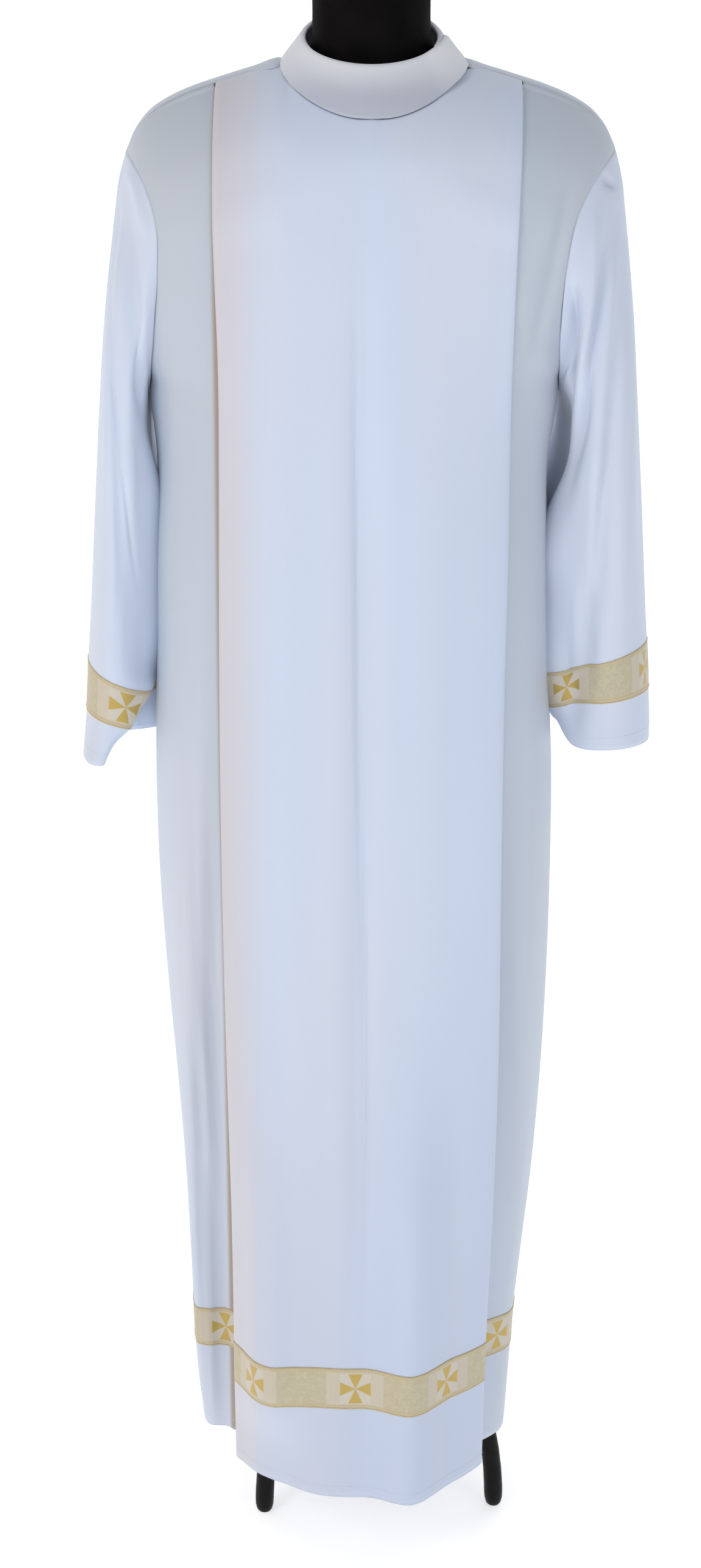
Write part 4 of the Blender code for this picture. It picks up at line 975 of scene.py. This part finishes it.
def sleeve_rings(side, loop):
    """A sleeve's rings from the loop of its armhole seam down to the cuff."""
    angles = np.degrees(np.arctan2(-loop[:, 1] * ARMHOLE_SLIMNESS,
                                   loop[:, 2] - (ARM_TOP_Z + UNDERARM_Z) / 2.0)) % 360.0
    behind = len(front_arm_edges[side])
    angles[behind:] = (angles[behind:] - 180.0) % 360.0 + 180.0
    even = np.arange(len(loop)) * 360.0 / len(loop)
    rest = loop - np.array([sleeve_point(side, 0.0, angle) for angle in angles])
    rings = [loop]
    for share in SLEEVE_SHARES[1:]:
        # Near the armhole the points keep the seam's shape and angles.
        hold, turn_even = 1.0 - ease(share / 0.30), ease(share / 0.60)
        centre = sum(sleeve_ends(side, share)) / 2.0
        ring = []
        for index in range(len(loop)):
            angle = angles[index] * (1.0 - turn_even) + even[index] * turn_even
            point = sleeve_point(side, share, angle) + rest[index] * hold
            away = (point - centre) / norm(point - centre)
            height = fold_height(SLEEVE_FOLDS[side], angle, share, 3.0, True)
            ring.append(point + away * float(height))
        rings.append(ring)
    return rings


sleeve_cloths, sleeve_rows = {}, {}
for side, name, area in ((-1, "left", 0.204), (1, "right", 0.224)):
    front_edge, back_edge = front_arm_edges[side], back_arm_edges[side]
    loop = np.array([(front_edge[0] + back_edge[0]) / 2.0, *front_edge[1:],
                     *back_edge[1:-1][::-1]])
    fine = finer(sleeve_rings(side, loop), SLEEVE_CELL, 1, True)[0]
    fine, sleeve_rows[side] = finer(fine, SLEEVE_CELL, 0)
    rows, columns = fine.shape[:2]
    shares = np.interp(np.arange(rows), sleeve_rows[side], SLEEVE_SHARES)[:, None]
    turns = (np.arange(columns) * 360.0 / columns)[None, :]
    height = fold_height(SLEEVE_CREASES[side], turns, shares, 3.0, True)[:, ::-side]
    fine = fine[:, ::-side]
    normals = normals_of(fine, True)
    facing = ease(-normals[:, :, 1] * 1.6) * ease(np.arange(rows) / 3.0)[:, None]
    height += facing * line_height(SLEEVE_LINES[side], fine[:, :, 0], fine[:, :, 2])
    sleeve_cloths[side] = fine + normals * height[:, :, None]
    hang("sleeve_cloth_" + name, "sleeve_" + name, sleeve_cloths[side], white_crepe,
         around=True)

# ---- Collar
# A stand collar of crepe turned over on itself: the fold is the soft upper rim, both
# edges are caught in the neck seam, and its front end laps over the other at one side.
RIM_HALF, RIM_FRONT_Y, RIM_BACK_Y = 0.0680, -0.079, 0.0715
RIM_MID_Z, RIM_TILT = 1.6190, 0.0320
COLLAR_START, COLLAR_LAP, COLLAR_LIFT = 70.0, 14.0, 0.0064
# Collar section: share of the height, distance out from the middle of the fold.
COLLAR_SECTION = millimetres([
    (-0.006, 2.6), (0.25, 3.4), (0.55, 3), (0.85, 3), (0.985, 2.6), (1.03, 1.2), (1.03, -1.2),
    (0.985, -2.6), (0.62, -2.2), (0.22, -0.6), (0.012, 0.4),
], 1)


def neck_point(angle):
    """The neck seam at an angle from the front, round to the right."""
    turn = radians(angle)
    x = SHOULDER_X + NECK_HALF * sin(turn)
    y = NECK_Y - (NECK_FRONT if cos(turn) > 0 else NECK_BACK) * cos(turn)
    return np.array([x, y, rolled_z(x, roll_at(x, y))])


def rim_point(angle):
    turn = radians(angle)
    reach = (RIM_BACK_Y - RIM_FRONT_Y) / 2.0
    return np.array([AXIS_X + RIM_HALF * sin(turn),
                     (RIM_FRONT_Y + RIM_BACK_Y) / 2.0 - reach * cos(turn),
                     RIM_MID_Z - RIM_TILT * cos(turn)])


collar_end = COLLAR_START + 360.0 + COLLAR_LAP
collar_grid = []
for angle in np.linspace(COLLAR_START, collar_end, 43):
    low, high = neck_point(angle), rim_point(angle)
    rise = high - low
    away = np.array([sin(radians(angle)), -cos(radians(angle)), 0.0])
    away -= rise * np.dot(away, rise) / np.dot(rise, rise)
    away /= norm(away)
    lapped = ease((angle - (collar_end - 2.6 * COLLAR_LAP)) / (1.4 * COLLAR_LAP))
    collar_grid.append([low + rise * share + away * (out + COLLAR_LIFT * float(lapped))
                        for share, out in COLLAR_SECTION])
collar_grid = np.array(collar_grid).transpose(1, 0, 2)[::-1]
# The collar is painted dark at its foot and light at its rim: painted shade below the roll and a
# painted highlight on the rim.
collar_crepe = crepe("collar_crepe", ((0.500, 0.520, 0.600), (0.480, 0.520, 0.620)),
                     ((0.840, 0.845, 0.890), (0.815, 0.845, 0.905)), (1.552, 1.605))
hang("collar_cloth", "collar", finer(finer(collar_grid, 0.004, 1)[0], 0.003, 0)[0],
     collar_crepe)

# ---- Galloon
# A woven ribbon 46 mm wide, gold on beige, laid flat on the cloth and sewn down along both
# edges. Gold crosses with widening arms stand in plain fields between mottled ones.
REPEAT = 0.117            # from cross to cross
RIBBON_HALF = 0.023
ARM = 0.0165              # half width of a cross
WIDENING = 0.47           # of its arms, for each metre from the middle
PLAIN_HALF = 0.0315       # half length of the plain field round a cross
BORDER = 0.0184           # where the border starts, from the ribbon's middle
RIBBON_LIFT = 0.0004      # of the ribbon's underside off the cloth
# How much higher the ribbon lies round a cuff than its rows: angle, climb.
CUFF_CLIMB = {
    -1: millimetres([
        (0, 0), (150, 0), (168, 12), (185, 26), (250, 24), (300, 8), (340, 0), (360, 0),
    ], 1),
    1: millimetres([
        (0, 0), (60, 4), (90, 6), (120, 4), (140, 0), (165, -4), (200, 0), (360, 0),
    ], 1),
}

gold_galloon, tree, surface = new_finish("gold_galloon")


def calc(operation, *values):
    """One step of the maths of the ribbon's pattern."""
    return node(tree, "ShaderNodeMath", dict(enumerate(values)), operation=operation)[0]


def below(value, limit, soft=0.0005):
    """1 where a value is under a limit, with a soft change."""
    return ranged(tree, value, limit - soft, limit + soft, 1.0, 0.0,
                  interpolation_type="SMOOTHSTEP")


ribbon_map = node(tree, "ShaderNodeUVMap", uv_map="cloth")["UV"]
along, up, _ = node(tree, "ShaderNodeSeparateXYZ", {0: ribbon_map})
in_repeat = calc("SUBTRACT", calc("FRACT", calc("ADD", calc("DIVIDE", along, REPEAT), 0.5)), 0.5)
s = calc("ABSOLUTE", calc("MULTIPLY", in_repeat, REPEAT))   # from the nearest cross
t = calc("ABSOLUTE", up)                                    # from the ribbon's middle
wedges = [below(calc("SUBTRACT", off, calc("MULTIPLY", out, WIDENING)), 0.0)
          for off, out in ((t, s), (s, t))]
in_square = calc("MULTIPLY", below(s, ARM), below(t, ARM))
cross = calc("MULTIPLY", calc("MAXIMUM", *wedges), in_square)
plain = below(s, PLAIN_HALF, 0.0006)
border = calc("SUBTRACT", 1.0, below(t, BORDER))
line_off = calc("ABSOLUTE", calc("SUBTRACT", t, BORDER + 0.002))
border_line = calc("MULTIPLY", border, below(line_off, 0.0011, 0.0004))
# The mottled field: a small scrolling figure of the weave, the same each side of its middle.
figure = node(tree, "ShaderNodeTexNoise", {
    "Vector": node(tree, "ShaderNodeCombineXYZ", {0: s, 1: up})[0], "Scale": 190.0,
    "Detail": 1.0, "Distortion": 1.6})
scroll = calc("SUBTRACT", 1.0, below(figure["Fac"], 0.52, 0.05))
field = calc("MULTIPLY", calc("MULTIPLY", scroll, calc("SUBTRACT", 1.0, plain)),
             below(t, BORDER - 0.0006))
colour = mixed(tree, mottled(tree, 160.0, 2.0, coordinates="UV"), (0.600, 0.535, 0.380),
               (0.650, 0.575, 0.410))
for part, share, tone in (
        (field, 0.60, (0.560, 0.510, 0.340)), (plain, 0.75, (0.665, 0.600, 0.500)),
        (in_square, 0.90, (0.690, 0.640, 0.560)), (cross, 1.0, (0.600, 0.430, 0.115)),
        (border, 0.85, (0.610, 0.500, 0.290)), (border_line, 0.50, (0.680, 0.600, 0.420))):
    colour = mixed(tree, calc("MULTIPLY", part, share), colour, tone)
# Ribbed weave: fine weft ribs across the ribbon, finer warp along it.
weave = calc("MULTIPLY", ribbed(tree, ribbon_map, "X", 260.0, 0.5),
             ribbed(tree, ribbon_map, "Y", 420.0))
relief = calc("MULTIPLY", calc("MAXIMUM", cross, calc("MAXIMUM", border, field)), 1.2)
depth = calc("MULTIPLY", weave, 0.6)
# The colour is darker where the weave lies low: painted shade between the ribs.
painted_rib_shade = node(tree, "ShaderNodeCombineXYZ", dict.fromkeys(range(3), calc("ADD", depth, 0.55)))[0]
wire(tree, surface, {
    "Sheen Weight": 0.15,
    "Normal": raised(tree, calc("ADD", relief, depth), 0.5, 0.0003),
    "Base Color": mixed(tree, 0.35, colour, painted_rib_shade, blend_type="MULTIPLY"),
    "Metallic": calc("MULTIPLY", calc("MAXIMUM", cross, border), 0.35),
    "Roughness": calc("SUBTRACT", 0.62, calc("MULTIPLY", cross, 0.16))})


def ribbon(name, cad_node, cloth, rows, columns, cross_place, around=False, climb=0.0):
    """The ribbon on a stretch of a cloth's own points, lifted off it, and where it runs
    aslant, higher by a column's climb. A cross lies at one place."""
    lifted = cloth + normals_of(cloth, around) * RIBBON_LIFT
    top, low = rows
    count = low - top
    spacing = norm(lifted[low] - lifted[top], axis=1) / count
    places = np.linspace(top, low, 2 * count + 1)[:, None] - (climb / spacing)[None, :]
    above = np.floor(places).astype(int)
    share = (places - above)[:, :, None]
    across = np.arange(cloth.shape[1])[None, :]
    grid = (lifted[above, across] * (1.0 - share) + lifted[above + 1, across] * share)
    grid = grid[:, columns]
    middle = grid[count]
    u = running(norm(np.diff(middle, axis=0), axis=1))
    zero = u[np.argmin(norm(middle - np.array(cross_place), axis=1))]
    if around:
        grid = np.concatenate([grid, grid[:, :1]], axis=1)
        u = np.append(u, u[-1] + norm(middle[0] - middle[-1]))
    length = float(u[-1])
    if around:                # a whole number of repeats closes the ring
        stretch = max(1, round(length / REPEAT)) * REPEAT / length
        u, zero = u * stretch, zero * stretch
    v = np.linspace(RIBBON_HALF, -RIBBON_HALF, grid.shape[0])
    hang(name, cad_node, grid, gold_galloon,
         uv=uv_grid(u - zero, v),
         thickness=0.0006)
    return grid


def band_rows(fine_rows, coarse_rows):
    """The rows of a fine grid along the upper and the lower edge of the ribbon."""
    return [fine_rows[coarse_rows.index(("level", z))] for z in (BAND_TOP_Z, BAND_LOW_Z)]


HIDDEN = 0.18             # share of a side front's columns under the pleat


def shown(side):
    """The columns of a side front that show beside the pleat."""
    columns = side_cloths[side].shape[1]
    if side > 0:
        return slice(int(columns * HIDDEN), None)
    return slice(None, int(columns * (1.0 - HIDDEN)))


edge_column = turned_points - 2    # the outermost of a pleat's folded edge
ribbons = [
    ribbon("galloon_hem_front", "galloon_front", panel_cloth, band_rows(panel_rows, FRONT_ROWS),
           slice(panel_columns[edge_column], panel_columns[-edge_column - 1] + 1),
           (-0.002, -0.22, 0.217)),
    ribbon("galloon_hem_back", "galloon_back", back_cloth, band_rows(back_rows, BACK_ROWS),
           slice(None), (0.0, 0.2, 0.217)),
]
for side, name, side_cross, cuff_cross in (
        (-1, "left", (-0.148, -0.06, 0.217), (-0.2435, -0.076, 0.948)),
        (1, "right", (0.157, -0.09, 0.217), (0.2165, -0.058, 0.965))):
    ribbons.append(ribbon("galloon_hem_side_" + name, "galloon_side_" + name,
                          side_cloths[side], band_rows(side_rows[side], FRONT_ROWS),
                          shown(side), side_cross))
    cloth = sleeve_cloths[side]
    rows = [sleeve_rows[side][SLEEVE_SHARES.index(CUFF_SHARES[end])] for end in (0, -1)]
    turns = (np.arange(cloth.shape[1]) * 360.0 / cloth.shape[1])[::-side]
    ribbons.append(ribbon("galloon_cuff_cloth_" + name, "galloon_cuff_" + name, cloth, rows,
                          slice(None), cuff_cross, True,
                          np.interp(turns, *CUFF_CLIMB[side].T)))

# ---- Stitches
# Running stitches that hold the pieces: gold thread along both edges of every ribbon, and
# white thread round the turned-up hems of the skirt and the cuffs.
threads = {}
for name, roughness, dark, light in (
        ("gold_thread", 0.5, (0.570, 0.475, 0.270), (0.670, 0.580, 0.370)),
        ("white_thread", 0.6, (0.560, 0.610, 0.700), (0.620, 0.670, 0.760))):
    threads[name], tree, surface = new_finish(name)
    wire(tree, surface, {"Roughness": roughness,
                         "Base Color": mixed(tree, mottled(tree, 300.0, 1.0), dark, light)})

stitching = bpy.data.node_groups.new("stitching", "GeometryNodeTree")
stitching.interface.new_socket("Stitches", in_out="OUTPUT", socket_type="NodeSocketGeometry")
sockets = {label: stitching.interface.new_socket(label, in_out="INPUT",
                                                 socket_type="NodeSocket" + kind)
           for label, kind in (("Line", "Geometry"), ("Spacing", "Float"), ("Length", "Float"),
                               ("Radius", "Float"), ("Seed", "Int"), ("Thread", "Material"))}
given = node(stitching, "NodeGroupInput")
curve = node(stitching, "GeometryNodeMeshToCurve", {0: given["Line"]})[0]
points = node(stitching, "GeometryNodeResampleCurve", {
    "Curve": curve, "Length": given["Spacing"]}, mode="LENGTH")[0]
one_stitch = node(stitching, "GeometryNodeMeshCylinder", {
    "Vertices": 6, "Radius": given["Radius"], "Depth": given["Length"]})["Mesh"]
turned = node(stitching, "FunctionNodeAlignRotationToVector", {
    "Vector": node(stitching, "GeometryNodeInputTangent")[0]}, axis="Z")[0]
uneven = node(stitching, "FunctionNodeRandomValue", {
    2: 0.85, 3: 1.10, "Seed": given["Seed"]})[1]
placed = node(stitching, "GeometryNodeInstanceOnPoints", {
    "Points": points, "Instance": one_stitch, "Rotation": turned, "Scale": uneven})[0]
realized = node(stitching, "GeometryNodeRealizeInstances", {0: placed})[0]
node(stitching, "NodeGroupOutput", {0: node(stitching, "GeometryNodeSetMaterial", {
    "Geometry": realized, "Material": given["Thread"]})[0]})


def stitch(name, lines, slot, **values):
    """One mesh of stitches along lines of points."""
    points, edges = [], []
    for line in lines:
        start = len(points)
        points += (np.asarray(line) + PLACE).tolist()
        edges += [(start + index, start + index + 1) for index in range(len(line) - 1)]
    data = bpy.data.meshes.new(name + "_line")
    data.from_pydata(points, edges, [])
    path = put_in_scene(name + "_line", data)
    sewn = path.modifiers.new("stitching", "NODES")
    sewn.node_group = stitching
    for label, value in values.items():
        sewn[sockets[label].identifier] = value
    graph = bpy.context.evaluated_depsgraph_get()
    plain = bpy.data.meshes.new_from_object(path.evaluated_get(graph))
    plain.name = name
    bpy.data.objects.remove(path)
    made = put_in_scene(name, plain)
    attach(made, "root")


EDGE = 0.35               # place of the gold stitches between the ribbon's first two rows
STITCH_LIFT = 0.0001      # of their line off the ribbon


def beside(grid, row, next_row):
    """A line of stitches on a ribbon, beside its edge."""
    lifted = grid + normals_of(grid) * STITCH_LIFT
    return lifted[row] * (1.0 - EDGE) + lifted[next_row] * EDGE


for number, grid in enumerate(ribbons, start=1):
    stitch("ribbon_stitches_%d" % number,
           [beside(grid, 0, 1), beside(grid, -1, -2)], "galloon", Spacing=0.0042,
           Length=0.0030, Radius=0.00032, Seed=number, Thread=threads["gold_thread"])
hem_lines = [back_cloth[-3], panel_cloth[-3, face_columns]]
for side in (-1, 1):
    hem_lines.append(side_cloths[side][-3, shown(side)])
    cuff_line = sleeve_cloths[side][-4]
    hem_lines.append(np.vstack([cuff_line, cuff_line[:1]]))
stitch("hem_stitches", hem_lines, "cloth", Spacing=0.0058, Length=0.0036, Radius=0.00022,
       Seed=11, Thread=threads["white_thread"])

# ---- Floor, light and camera
# A pale paper sweep that runs up behind the stand, lit by large soft lamps from both
# sides of the camera and from above.
paper, tree, surface = new_finish("pale_paper")
wire(tree, surface, {"Base Color": (0.93, 0.93, 0.935, 1.0), "Roughness": 0.9,
                     "Emission Color": (1.0, 1.0, 1.0, 1.0), "Emission Strength": 0.56})
SWEEP = 1.6               # radius of the bend behind the stand
profile = [(-8.0, 0.0), (-2.0, 0.0), (1.5, 0.0)]
profile += [(3.0 + SWEEP * sin(turn), SWEEP * (1.0 - cos(turn)))
            for turn in np.radians(np.linspace(0.0, 90.0, 13))]
profile.append((3.0 + SWEEP, 7.0))
floor_mesh = bpy.data.meshes.new("floor")
floor_mesh.from_pydata([(x, y, z) for y, z in profile for x in (-9.0, 9.0)], [],
                       [(2 * row, 2 * row + 1, 2 * row + 3, 2 * row + 2)
                        for row in range(len(profile) - 1)])
floor_mesh.materials.append(paper)
floor_mesh.shade_smooth()
put_in_scene("floor", floor_mesh)


def lamp(name, place, aim_z, size, power, colour=(1.0, 1.0, 1.0)):
    """A large soft lamp that aims at the stand's axis."""
    light = bpy.data.lights.new(name, "AREA")
    light.shape, light.size, light.size_y = "RECTANGLE", *size
    light.energy, light.color = power, colour
    made = put_in_scene(name, light)
    made.location = place
    aim = Vector((0.0, 0.0, aim_z)) - Vector(place)
    made.rotation_euler = aim.to_track_quat("-Z", "Y").to_euler()


lamp("key", (-2.6, -3.2, 2.9), 1.15, (1.6, 2.0), 46.0, (1.0, 0.975, 0.95))
lamp("fill", (2.6, -3.0, 2.0), 1.0, (1.8, 2.2), 21.0, (0.92, 0.96, 1.0))
lamp("front", (0.0, -4.2, 2.4), 1.1, (2.2, 1.8), 9.0)
lamp("warm_side", (-3.0, -0.9, 1.8), 1.1, (1.0, 2.0), 9.0, (1.0, 0.74, 0.52))
lamp("top", (0.0, 0.3, 3.6), 0.8, (2.6, 1.6), 4.0)

world = bpy.data.worlds.new("studio")
bpy.context.scene.world = world
world.use_nodes = True
wire(world.node_tree, world.node_tree.nodes["Background"],
     {"Color": (0.95, 0.97, 1.0, 1.0), "Strength": 0.36})
bpy.context.scene.view_settings.view_transform = "Standard"

camera = put_in_scene("camera", bpy.data.cameras.new("camera"))
camera.data.sensor_fit = "VERTICAL"
camera.data.sensor_height = 24.0
camera.data.lens = 36.335
camera.location = (-0.018, -2.4846, 1.51)
camera.rotation_euler = (radians(75.0), 0.0, 0.0)
bpy.context.scene.camera = camera
